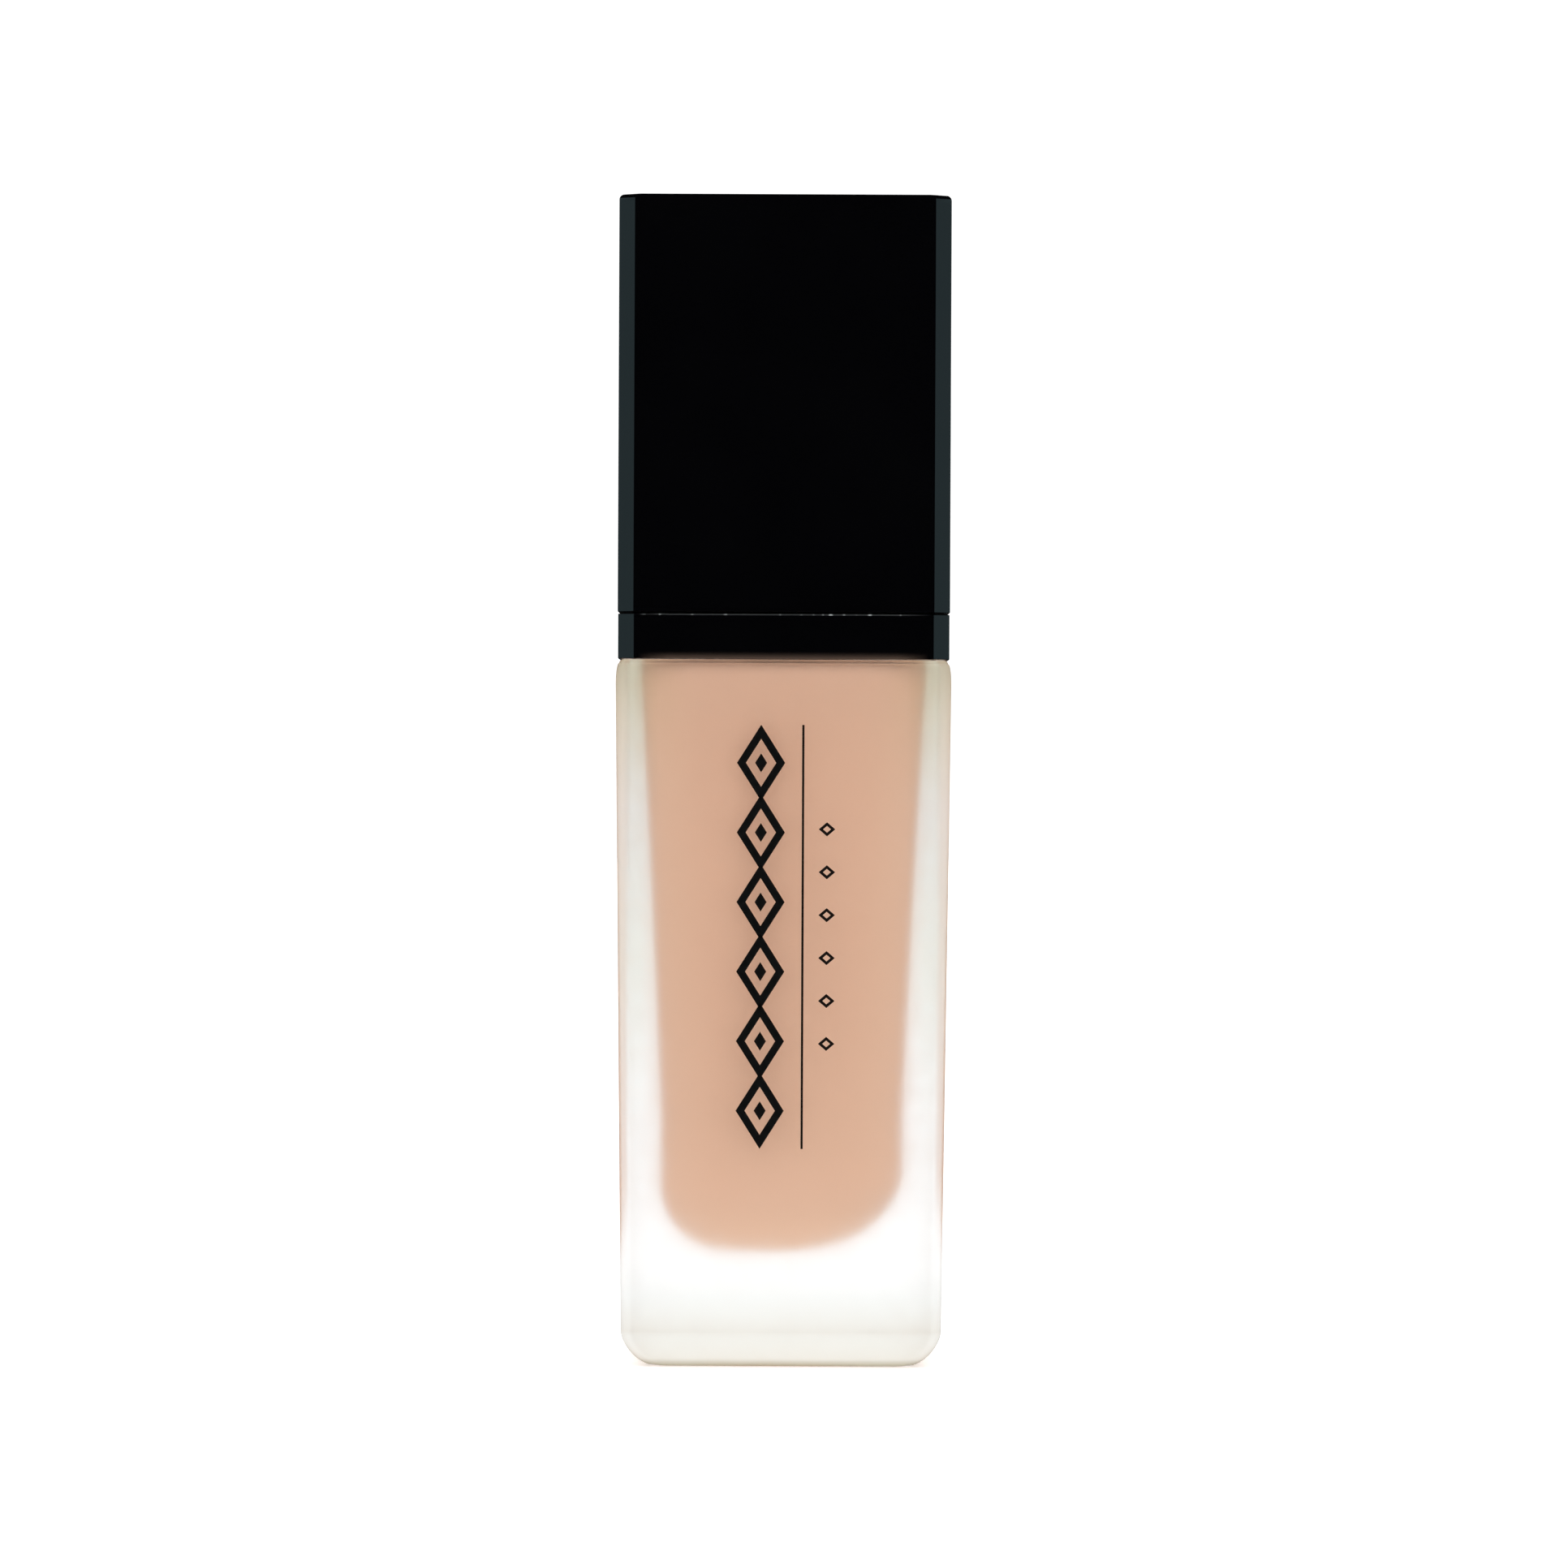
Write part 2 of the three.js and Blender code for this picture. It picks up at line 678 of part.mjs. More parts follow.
// The inner button carries the flow from the stem to the nozzle. Ribs centre it in the shell.
function actuatorCore() {
  const top = HEAD_TOP - 1.75;
  const ribR = HEAD_R - HEAD_WALL - 0.1;
  let shape = rod(3.2, STEM_TOP - 4.7, top, INNER_ROUND);
  shape = shape.add(rod(ribR, top - 1, top));
  for (let i = 0; i < 4; i += 1) {
    const turn = Math.PI / 4 + (i * Math.PI) / 2;
    shape = shape.add(block(0.9, ribR - 2, STEM_TOP - 3, top - 0.5, 0, -(ribR + 2) / 2, turn));
  }
  shape = shape.add(crossRod(2.3, -1, -ribR + 0.55, SPOUT_Z));
  const socket = rod(STEM_R + SEAT, STEM_TOP - 6, STEM_TOP + SEAT, INNER_ROUND);
  const riser = rod(0.9, STEM_TOP - 1, SPOUT_Z + 0.8, 16);
  const channel = crossRod(0.75, 0, -4.2, SPOUT_Z, 16);
  const nozzleSocket = crossRod(NOZZLE_R + SEAT, -3.5, -8, SPOUT_Z);
  return shape.subtract(socket).subtract(riser).subtract(channel).subtract(nozzleSocket);
}

// The nozzle is a thin pipe with a wider mouth. It pins the core and the shell together.
function nozzleInsert() {
  const mouth = -SPOUT_REACH + 0.1;
  const shoulder = mouth + 2.1;
  const pipe = crossRod(NOZZLE_R, -3.6, shoulder - 0.5, SPOUT_Z, 24);
  const head = crossRod(1.75, shoulder, mouth, SPOUT_Z, 24);
  const bore = crossRod(0.6, -2, mouth - 1, SPOUT_Z, 16);
  return pipe.add(head).subtract(bore);
}

// ---------------------------------------------------------------- overcap

const CAP_WALL = 1.4;
const CAP_EDGE = 0.55; // rounding of the overcap's top edge
const LINER_BORE = 12.75;
const LINER_WALL = 0.85;
const LINER_BOTTOM = CAP_BOTTOM + 0.3;

function overcapShell() {
  const outer = squared(
    [
      [0, CAP_BOTTOM],
      [CAP_HALF - 0.2, CAP_BOTTOM],
      [CAP_HALF, CAP_BOTTOM + 0.2],
      [CAP_HALF, CAP_TOP - CAP_EDGE],
      ...arc(CAP_HALF - CAP_EDGE, CAP_TOP - CAP_EDGE, CAP_EDGE, 22.5, 90, 3),
      [0, CAP_TOP],
    ],
    CORNER_CHAMFER,
    1,
  );
  const inside = squared(
    [
      [0, CAP_BOTTOM - 1],
      [CAP_HALF - CAP_WALL, CAP_BOTTOM - 1],
      [CAP_HALF - CAP_WALL, CAP_TOP - 1.8],
      [0, CAP_TOP - 1.8],
    ],
    0.8,
    1,
  );
  return outer.subtract(inside);
}

// The liner is a round cup that clips over the collar's sleeve. A square foot and eight
// ribs hold it in the shell.
function overcapLiner() {
  const half = CAP_HALF - CAP_WALL - 0.12;
  const outerR = LINER_BORE + LINER_WALL;
  const top = HEAD_TOP + 1.9;
  const beadZ = COLLAR_TOP - 5.6;
  const foot = squared(
    [
      [0, LINER_BOTTOM],
      [half, LINER_BOTTOM],
      [half, LINER_BOTTOM + 1.2],
      [0, LINER_BOTTOM + 1.2],
    ],
    0.9,
    1,
  );
  const cup = rod(outerR, LINER_BOTTOM + 0.5, top);
  const room = filled([
    [0, LINER_BOTTOM - 1],
    [LINER_BORE + 0.4, LINER_BOTTOM - 1],
    [LINER_BORE + 0.4, LINER_BOTTOM],
    [LINER_BORE, LINER_BOTTOM + 0.5],
    [LINER_BORE, beadZ - 0.4],
    [LINER_BORE - 0.3, beadZ],
    [LINER_BORE, beadZ + 0.4],
    [LINER_BORE, top - 1],
    [0, top - 1],
  ]);
  let shape = foot.add(cup);
  for (let i = 0; i < 8; i += 1) {
    const reach = i % 2 ? 20.2 : half;
    const length = reach - outerR + 0.5;
    const turn = (i * Math.PI) / 4;
    const bottom = LINER_BOTTOM + 0.6;
    shape = shape.add(block(0.9, length, bottom, CAP_TOP - 1.95, 0, -reach + length / 2, turn));
  }
  return shape.subtract(room);
}

// ---------------------------------------------------------------- assembly

function group(name, ...children) {
  const made = new THREE.Group();
  made.name = name;
  return made.add(...children);
}

const bottle = group(
  "bottle",
  meshOf("glass_bottle", glassBottle(), materials.frostedGlass),
  meshOf("foundation_fill", foundationFill(), materials.foundation),
);

const pump = group(
  "pump",
  meshOf("pump_housing", pumpHousing(), materials.clearPlastic),
  meshOf("housing_cap", housingCap(), materials.satinBlack),
  meshOf("dip_tube", dipTube(), materials.clearPlastic),
  meshOf("return_spring", returnSpring(), materials.steel),
  meshOf("inlet_ball", inletBall(), materials.steel),
  meshOf("neck_gasket", neckGasket(), materials.softWhite),
  group(
    "stem",
    meshOf("pump_stem", pumpStem(), materials.whitePlastic),
    meshOf("valve_pin", valvePin(), materials.whitePlastic),
    meshOf("piston", piston(), materials.softWhite),
    group(
      "pump_head",
      meshOf("actuator_core", actuatorCore(), materials.satinBlack),
      meshOf("actuator_shell", actuatorShell(), materials.glossBlack),
      meshOf("nozzle_insert", nozzleInsert(), materials.satinBlack),
    ),
  ),
);

const closure = group(
  "closure",
  meshOf("screw_closure", screwClosure(), materials.satinBlack),
  meshOf("collar_shell", collarShell(), materials.glossBlack),
);

const overcap = group(
  "overcap",
  meshOf("overcap_shell", overcapShell(), materials.glossBlack),
  meshOf("overcap_liner", overcapLiner(), materials.satinBlack),
);

export default group("foundation_bottle", bottle, closure, pump, overcap);
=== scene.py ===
"""A square foundation bottle in a plain white studio.

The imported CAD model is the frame. Each of its nodes is rebuilt here as a finer mesh in the same
place and on the same body: the frosted glass and its fill, the closure with its square collar, the
overcap with its liner, and the pump with its head. A printed ornament is added on the front.
Sizes are in millimetres, apart from the studio's, which are in metres.
"""

import math

import bmesh
import bpy
import numpy as np
from mathutils import Matrix, Vector


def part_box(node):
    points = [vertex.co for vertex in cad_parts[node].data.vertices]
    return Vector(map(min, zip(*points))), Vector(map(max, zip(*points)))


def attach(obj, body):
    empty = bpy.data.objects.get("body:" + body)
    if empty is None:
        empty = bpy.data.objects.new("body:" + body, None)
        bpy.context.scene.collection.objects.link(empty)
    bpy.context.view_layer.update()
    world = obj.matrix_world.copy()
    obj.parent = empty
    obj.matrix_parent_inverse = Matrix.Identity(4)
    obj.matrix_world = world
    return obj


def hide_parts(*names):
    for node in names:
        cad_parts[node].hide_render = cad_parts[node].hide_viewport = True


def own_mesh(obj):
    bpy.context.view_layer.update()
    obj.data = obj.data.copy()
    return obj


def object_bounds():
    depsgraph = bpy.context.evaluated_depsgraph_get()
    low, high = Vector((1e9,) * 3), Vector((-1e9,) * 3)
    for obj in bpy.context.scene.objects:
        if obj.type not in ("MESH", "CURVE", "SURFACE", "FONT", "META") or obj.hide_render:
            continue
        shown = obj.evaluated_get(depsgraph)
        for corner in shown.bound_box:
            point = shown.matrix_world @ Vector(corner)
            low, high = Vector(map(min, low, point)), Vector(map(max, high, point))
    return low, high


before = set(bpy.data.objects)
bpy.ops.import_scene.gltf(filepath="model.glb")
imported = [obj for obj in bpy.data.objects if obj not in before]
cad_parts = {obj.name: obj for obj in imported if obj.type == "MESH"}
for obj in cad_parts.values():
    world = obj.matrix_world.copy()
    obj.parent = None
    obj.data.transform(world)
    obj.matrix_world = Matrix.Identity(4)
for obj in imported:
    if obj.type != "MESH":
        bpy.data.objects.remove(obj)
cad_low, cad_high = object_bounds()

MM = 0.001
BOOLEAN_CREASE = 30  # degrees between faces from which a cut or joined piece shows an edge


# -------- mesh helpers


def placed(name, data):
    """A new object in the scene."""
    made = bpy.data.objects.new(name, data)
    bpy.context.scene.collection.objects.link(made)
    return made


def mesh_object(name, vertices, faces):
    """A smooth-shaded object from vertices in millimetres."""
    mesh = bpy.data.meshes.new(name)
    mesh.from_pydata([tuple(v) for v in np.asarray(vertices) * MM], [], faces)
    mesh.validate()
    mesh.shade_smooth()
    return placed(name, mesh)


def loft(name, rings, closed=False):
    """A skin over rings that hold the same number of points. A ring of one point is a pole.

    The rings run anticlockwise seen from above, and their order goes anticlockwise round the
    material in a section, so that the faces point outwards.
    """
    vertices = np.vstack(rings)
    starts = np.cumsum([0] + [len(ring) for ring in rings])
    pairs = list(zip(range(len(rings)), range(1, len(rings))))
    if closed:
        pairs.append((len(rings) - 1, 0))
    faces = []
    for low, high in pairs:
        columns = max(len(rings[low]), len(rings[high]))
        for i in range(columns):
            j = (i + 1) % columns
            below = [starts[low]] if len(rings[low]) == 1 else [starts[low] + i, starts[low] + j]
            above = [starts[high]] if len(rings[high]) == 1 else [starts[high] + j, starts[high] + i]
            faces.append([int(v) for v in below + above])
    return mesh_object(name, vertices, faces)


def pole(z):
    """A ring of one point, on the axis."""
    return np.array([[0.0, 0.0, z]])


def circle(radius, z, columns=96):
    """A round ring."""
    angle = np.linspace(0, 2 * math.pi, columns, endpoint=False) - math.pi / 2
    flat = np.full(columns, float(z))
    return np.column_stack((radius * np.cos(angle), radius * np.sin(angle), flat))


def lathe(name, profile, columns=96):
    """A turned piece. A profile that starts and ends on the axis is filled, another is a ring."""
    filled = profile[0][0] == 0
    rings = [pole(z) if radius == 0 else circle(radius, z, columns) for radius, z in profile]
    return loft(name, rings, closed=not filled)


def sweep(name, rings):
    """A solid bar over rings that hold the same number of points, closed at both ends."""
    count = len(rings[0])
    faces = []
    for i in range(len(rings) - 1):
        for j in range(count):
            k = (j + 1) % count
            faces.append([i * count + j, (i + 1) * count + j, (i + 1) * count + k, i * count + k])
    last = (len(rings) - 1) * count
    faces.append(list(range(count)))
    faces.append([last + j for j in reversed(range(count))])
    made = mesh_object(name, np.vstack(rings), faces)
    work = bmesh.new()
    work.from_mesh(made.data)
    bmesh.ops.recalc_face_normals(work, faces=work.faces)
    work.to_mesh(made.data)
    work.free()
    return made


def rod(radius, bottom, top, columns=96):
    """An upright bar on the axis."""
    return sweep("rod", [circle(radius, bottom, columns), circle(radius, top, columns)])


def cross_rod(radius, from_y, to_y, z, far_radius=None, columns=64):
    """A bar that lies along Y, centred at height z."""
    rings = []
    for r, y in ((radius, from_y), (far_radius or radius, to_y)):
        flat = circle(r, 0, columns)
        rings.append(np.column_stack((flat[:, 0], np.full(columns, float(y)), flat[:, 1] + z)))
    return sweep("cross_rod", rings)


def box_mm(size_x, size_y, bottom, top, y=0, turn=0):
    """A block in millimetres, shifted along Y and then turned about the axis."""
    work = bmesh.new()
    bmesh.ops.create_cube(work, size=1)
    bmesh.ops.scale(work, verts=work.verts, vec=(size_x * MM, size_y * MM, (top - bottom) * MM))
    bmesh.ops.translate(work, verts=work.verts, vec=(0, y * MM, (bottom + top) / 2 * MM))
    bmesh.ops.rotate(work, verts=work.verts, matrix=Matrix.Rotation(turn, 3, "Z"))
    mesh = bpy.data.meshes.new("block")
    work.to_mesh(mesh)
    work.free()
    return placed("block", mesh)


def arc(centre_r, centre_z, radius, start, end, steps):
    """Points (r, z) of an arc between two angles in degrees."""
    angles = np.radians(np.linspace(start, end, steps + 1))
    return [(centre_r + radius * math.cos(a), centre_z + radius * math.sin(a)) for a in angles]


def four_sides(corner):
    """A whole ring from the points of its front side and the corner at the right of it."""
    quarter = np.array([[0.0, 1.0], [-1.0, 0.0]])
    sides = [corner]
    for _ in range(3):
        sides.append(sides[-1] @ quarter)
    return np.vstack(sides)


def chamfered(half, chamfer, z, flat_steps=12):
    """A square ring with a 45 degree flat on each corner."""
    reach = half - chamfer
    along = np.linspace(-reach, reach, flat_steps + 1)
    corner = np.column_stack((along, np.full(flat_steps + 1, -half)))
    ring = four_sides(corner)
    return np.column_stack((ring, np.full(len(ring), float(z))))


def rounded(half, radius, z, flat_steps=14, corner_steps=12):
    """A square ring with round corners."""
    radius = min(radius, half * 0.999)
    inner = half - radius
    along = np.linspace(-inner, inner, flat_steps + 1)[:-1]
    turn = np.linspace(0, math.pi / 2, corner_steps + 1)
    flat = np.column_stack((along, np.full(flat_steps, -half)))
    bend = np.column_stack((inner + radius * np.sin(turn), -inner - radius * np.cos(turn)))
    ring = four_sides(np.vstack((flat, bend)))
    return np.column_stack((ring, np.full(len(ring), float(z))))


def round_like(ring, radius, z):
    """A circle whose points lie in the same directions as a square ring's."""
    direction = ring[:, :2] / np.linalg.norm(ring[:, :2], axis=1)[:, None]
    return np.column_stack((direction * radius, np.full(len(ring), float(z))))


def soften(piece, width, segments=3, angle=28):
    """Rounds a piece's edges and keeps its flat faces flat in the shading."""
    bevel = piece.modifiers.new("edges", "BEVEL")
    bevel.width = width * MM
    bevel.segments = segments
    bevel.limit_method = "ANGLE"
    bevel.angle_limit = math.radians(angle)
    bevel.harden_normals = False
    weighted = piece.modifiers.new("flats", "WEIGHTED_NORMAL")
    weighted.keep_sharp = True
    return piece


def applied(piece):
    """The same piece with its modifiers made into mesh."""
    graph = bpy.context.evaluated_depsgraph_get()
    mesh = bpy.data.meshes.new_from_object(piece.evaluated_get(graph))
    piece.modifiers.clear()
    piece.data = mesh
    return piece


def boolean(piece, tools, operation):
    """Joins or cuts a piece with others, which are used up."""
    for tool in tools:
        step = piece.modifiers.new(operation, "BOOLEAN")
        step.operation = operation
        step.object = tool
        step.solver = "EXACT"
    applied(piece)
    for tool in tools:
        bpy.data.objects.remove(tool)
    piece.data.shade_smooth()
    piece.data.set_sharp_from_angle(angle=math.radians(BOOLEAN_CREASE))
    return piece


# -------- material helpers


class Nodes:
    """A small wrapper that builds a material's node tree."""

    def __init__(self, name):
        self.material = bpy.data.materials.new(name)
        self.material.use_nodes = True
        self.tree = self.material.node_tree
        self.shader = self.tree.nodes["Principled BSDF"]
        self.where = self.tree.nodes.new("ShaderNodeTexCoord").outputs["Object"]

    def set(self, **values):
        """Sets the shader's own sockets. An underscore stands for a space."""
        for name, value in values.items():
            self.shader.inputs[name.replace("_", " ")].default_value = value

    def link(self, source, target):
        """Joins two sockets."""
        self.tree.links.new(source, target)

    def axes(self):
        """The x, y and z of a point of the piece, in millimetres."""
        scale = self.tree.nodes.new("ShaderNodeVectorMath")
        scale.operation = "SCALE"
        scale.inputs["Scale"].default_value = 1 / MM
        split = self.tree.nodes.new("ShaderNodeSeparateXYZ")
        self.link(self.where, scale.inputs[0])
        self.link(scale.outputs["Vector"], split.inputs["Vector"])
        return split.outputs

    def math(self, operation, *sources):
        """One sum, product or other operation on values."""
        node = self.tree.nodes.new("ShaderNodeMath")
        node.operation = operation
        for source, target in zip(sources, node.inputs):
            self.link(source, target)
        return node.outputs["Value"]

    def ramp(self, source, stops):
        """A colour along a value from 0 to 1."""
        node = self.tree.nodes.new("ShaderNodeValToRGB")
        elements = node.color_ramp.elements
        while len(elements) < len(stops):
            elements.new(0.5)
        for element, (position, colour) in zip(elements, stops):
            element.position = position
            element.color = (*colour, 1)
        self.link(source, node.inputs["Fac"])
        return node.outputs["Color"]

    def noise(self, per_mm, stretch=(1, 1, 1), detail=3.0):
        """Noise with a grain size given as repeats per millimetre."""
        mapping = self.tree.nodes.new("ShaderNodeMapping")
        mapping.inputs["Scale"].default_value = stretch
        texture = self.tree.nodes.new("ShaderNodeTexNoise")
        texture.inputs["Scale"].default_value = per_mm / MM
        texture.inputs["Detail"].default_value = detail
        self.link(self.where, mapping.inputs["Vector"])
        self.link(mapping.outputs["Vector"], texture.inputs["Vector"])
        return texture.outputs["Fac"]

    def spread(self, source, low, high, from_low=0.3, from_high=0.7):
        """Maps a value between two limits onto a range. Without limits it maps a noise's middle."""
        node = self.tree.nodes.new("ShaderNodeMapRange")
        node.inputs["From Min"].default_value = from_low
        node.inputs["From Max"].default_value = from_high
        node.inputs["To Min"].default_value = low
        node.inputs["To Max"].default_value = high
        self.link(source, node.inputs["Value"])
        return node.outputs["Result"]

    def shades(self, source, dark, light):
        """Mixes the base colour from two by a value from 0 to 1."""
        node = self.tree.nodes.new("ShaderNodeMix")
        node.data_type = "RGBA"
        node.inputs["A"].default_value = (*dark, 1)
        node.inputs["B"].default_value = (*light, 1)
        self.link(source, node.inputs["Factor"])
        self.link(node.outputs["Result"], self.shader.inputs["Base Color"])
        self.mix = node

    def over(self, source, colour):
        """Lays another colour over the base colour."""
        under = self.mix.outputs["Result"]
        self.shades(source, (0, 0, 0), colour)
        self.link(under, self.mix.inputs["A"])

    def mottle(self, per_mm, dark, light, **texture):
        """Mixes the base colour from two by a noise."""
        self.shades(self.spread(self.noise(per_mm, **texture), 0, 1), dark, light)

    def rough(self, per_mm, low, high, plus=None, **texture):
        """Varies the roughness by a noise, on top of another value if there is one."""
        rough = self.spread(self.noise(per_mm, **texture), low, high)
        if plus is not None:
            rough = self.math("ADD", rough, plus)
        self.link(rough, self.shader.inputs["Roughness"])

    def bump(self, per_mm, height_mm, strength, **texture):
        """Gives the surface a relief by a noise."""
        node = self.tree.nodes.new("ShaderNodeBump")
        node.inputs["Distance"].default_value = height_mm * MM
        node.inputs["Strength"].default_value = strength
        self.link(self.noise(per_mm, **texture), node.inputs["Height"])
        self.link(node.outputs["Normal"], self.shader.inputs["Normal"])


# -------- materials

# Painted shade on the glass from its base, 0, to its shoulder, 1: a painted contact shadow at the
# foot, white in the middle, and the collar's painted shadow towards the shoulder.
GLASS_PAINTED_SHADE = [
    (0.0, (0.3, 0.25, 0.13)),
    (0.006, (0.5, 0.45, 0.31)),
    (0.012, (0.82, 0.78, 0.67)),
    (0.05, (0.88, 0.88, 0.83)),
    (0.1, (0.92, 0.94, 0.93)),
    (0.15, (1.0, 1.0, 1.0)),
    (0.35, (0.97, 1.0, 1.0)),
    (0.58, (0.88, 0.95, 0.91)),
    (0.8, (0.86, 0.92, 0.91)),
    (0.92, (0.79, 0.84, 0.74)),
    (1.0, (0.69, 0.73, 0.57)),
]
PAINTED_SHADE_RANGE = (0, 70)  # height at which the painted shade starts and ends
PAINTED_SHADE_EDGE = (12.3, 14.2)  # how far out the painted shade of the upright edges sets in
FOOT_SHADOW_RANGE = (7, 10.5)  # height over which the painted contact shadow of the foot fades out
FOOT_SHADOW_SIDE = (12.6, 13.2)  # keeps the foot's painted shadow on its sides and off its underside
CORNER_HAZE = (15.2, 16.2)  # how far out the corners grow duller
CORNER_MILK = (15.4, 16.0)  # how far out the corners let less light through
CREAM_PAINTED_LIGHT = (12, 24)  # height over which the painted light that makes the cream's foot paler fades out
CREAM_PAINTED_GLOW = (11, 16)  # height over which the painted glow in the cream's foot fades out


def frosted_glass():
    """Acid-etched glass: a fine even tooth that blurs whatever lies behind it.

    Painted shade colours its upright edges, olive-cream towards the collar, and its foot.
    Its corners are duller and let a little less light through.
    """
    nodes = Nodes("frosted_glass")
    nodes.set(IOR=1.5)
    x, y, z = nodes.axes()
    sideways = nodes.math("ABSOLUTE", x), nodes.math("ABSOLUTE", y)
    inwards = nodes.math("MINIMUM", *sideways)
    edge = nodes.spread(inwards, 0, 1, *PAINTED_SHADE_EDGE)
    side = nodes.spread(nodes.math("MAXIMUM", *sideways), 0, 1, *FOOT_SHADOW_SIDE)
    foot = nodes.math("MULTIPLY", nodes.spread(z, 1, 0, *FOOT_SHADOW_RANGE), side)
    # painted shade: the collar's shadow down the upright edges and a contact shadow on the foot's
    # sides
    painted_shade = nodes.math("MAXIMUM", edge, foot)
    nodes.shades(painted_shade, (1, 1, 1), (1, 1, 1))
    ramp = nodes.ramp(nodes.spread(z, 0, 1, *PAINTED_SHADE_RANGE), GLASS_PAINTED_SHADE)
    nodes.link(ramp, nodes.mix.inputs["B"])
    haze = nodes.spread(inwards, 0, 0.3, *CORNER_HAZE)
    clear = nodes.spread(inwards, 1, 0.78, *CORNER_MILK)
    nodes.link(clear, nodes.shader.inputs["Transmission Weight"])
    nodes.rough(0.6, 0.4, 0.48, plus=haze)
    nodes.bump(9.0, 0.004, 0.35, detail=2.0)
    return nodes.material


def clear_glass():
    """The same glass where it isn't etched: the neck, the cavity, and the shoulder's duller land."""
    nodes = Nodes("clear_glass")
    nodes.set(Base_Color=(0.985, 0.99, 0.98, 1), IOR=1.5, Transmission_Weight=1.0)
    _, _, z = nodes.axes()
    above = nodes.spread(z, 0, 0.35, SHOULDER - 0.3, SHOULDER - 0.1)
    below = nodes.spread(z, 0.35, 0, SHOULDER + 1.0, SHOULDER + 1.3)
    dull = nodes.math("MINIMUM", above, below)
    nodes.rough(0.3, 0.02, 0.06, plus=dull)
    nodes.bump(0.25, 0.02, 0.2, detail=1.0)
    return nodes.material


def foundation():
    """Thick beige cream against the glass, with faint flow marks, and painted light at its foot:
    paler colour and a faint glow.
    """
    nodes = Nodes("foundation_cream")
    _, _, z = nodes.axes()
    nodes.mottle(0.05, (0.83, 0.525, 0.368), (0.85, 0.545, 0.384), stretch=(1, 1, 0.4))
    # painted light: a paler colour towards the foot, where less light reaches the cream
    nodes.over(nodes.spread(z, 1, 0, *CREAM_PAINTED_LIGHT), (0.92, 0.59, 0.42))
    # painted glow: a faint emission in the foot stands for light scattered inside the cream
    nodes.set(Specular_IOR_Level=0.15, Emission_Color=(0.9, 0.6, 0.38, 1))
    nodes.link(nodes.spread(z, 0.1, 0, *CREAM_PAINTED_GLOW), nodes.shader.inputs["Emission Strength"])
    nodes.rough(0.2, 0.5, 0.6)
    nodes.bump(0.12, 0.05, 0.3)
    return nodes.material


def gloss_black(name):
    """Injection-moulded gloss black with a trace of haze and faint scratches."""
    nodes = Nodes(name)
    nodes.mottle(0.08, (0.0004, 0.0004, 0.0007), (0.0007, 0.0007, 0.001))
    nodes.set(IOR=1.5)
    nodes.rough(1.5, 0.06, 0.09, stretch=(1, 1, 0.3), detail=4.0)
    nodes.bump(0.05, 0.02, 0.15, detail=1.0)
    return nodes


def collar_gloss():
    """The same black, with painted glints along the deck's edge and a painted reflection at the
    bottom.

    Both stay on the four upright faces, away from the corners.
    """
    nodes = gloss_black("gloss_black_collar")
    x, y, z = nodes.axes()
    edge = nodes.spread(z, 0, 1, COLLAR_DECK - 0.16, COLLAR_DECK - 0.1)
    glint_dashes = nodes.spread(nodes.noise(1.1, stretch=(1, 1, 0), detail=1.0), 0.08, 1, 0.58, 0.68)
    sideways = nodes.math("ABSOLUTE", x), nodes.math("ABSOLUTE", y)
    middle = nodes.spread(nodes.math("MINIMUM", *sideways), 1, 0, 11.5, 14.5)
    farthest = nodes.math("MAXIMUM", *sideways)
    outside = nodes.spread(farthest, 0, 1, COLLAR_HALF - 0.3, COLLAR_HALF - 0.15)
    low = nodes.spread(z, 1, 0, COLLAR_BOTTOM, COLLAR_BOTTOM + 0.8)
    face = nodes.math("MULTIPLY", middle, outside)
    # painted reflection: a brown trace along the bottom edge stands for the cream-filled glass
    # reflected there
    painted_reflection = nodes.math("MULTIPLY", nodes.math("MULTIPLY", low, low), face)
    nodes.over(painted_reflection, (0.06, 0.04, 0.03))
    # painted glints: pale dashes along the deck's edge stand for light caught in the seam under the
    # overcap
    painted_glints = nodes.math("MULTIPLY", nodes.math("MULTIPLY", edge, glint_dashes), face)
    nodes.over(painted_glints, (0.26, 0.28, 0.28))
    return nodes


def satin_black():
    """Moulded black with a spark-eroded grain."""
    nodes = Nodes("satin_black")
    nodes.mottle(0.5, (0.009, 0.009, 0.01), (0.015, 0.015, 0.016))
    nodes.rough(2.0, 0.38, 0.52)
    nodes.bump(5.0, 0.006, 0.5)
    return nodes.material


def natural_plastic():
    """Unpigmented polypropylene of the barrel and the dip tube."""
    nodes = Nodes("natural_plastic")
    nodes.mottle(0.3, (0.74, 0.76, 0.75), (0.82, 0.83, 0.82))
    nodes.set(Transmission_Weight=0.4, IOR=1.49)
    nodes.rough(1.0, 0.3, 0.42)
    nodes.bump(1.2, 0.01, 0.3)
    return nodes.material


def white_plastic(name, dark, light, low, high):
    """Opaque white plastic with a slight moulded texture."""
    nodes = Nodes(name)
    nodes.mottle(0.4, dark, light)
    nodes.rough(1.5, low, high)
    nodes.bump(2.0, 0.006, 0.4)
    return nodes.material


def gasket_foam():
    """Soft closed-cell foam."""
    nodes = Nodes("gasket_foam")
    nodes.mottle(2.0, (0.6, 0.6, 0.56), (0.78, 0.78, 0.74))
    nodes.rough(3.0, 0.75, 0.95)
    nodes.bump(5.0, 0.04, 0.8, detail=2.0)
    return nodes.material


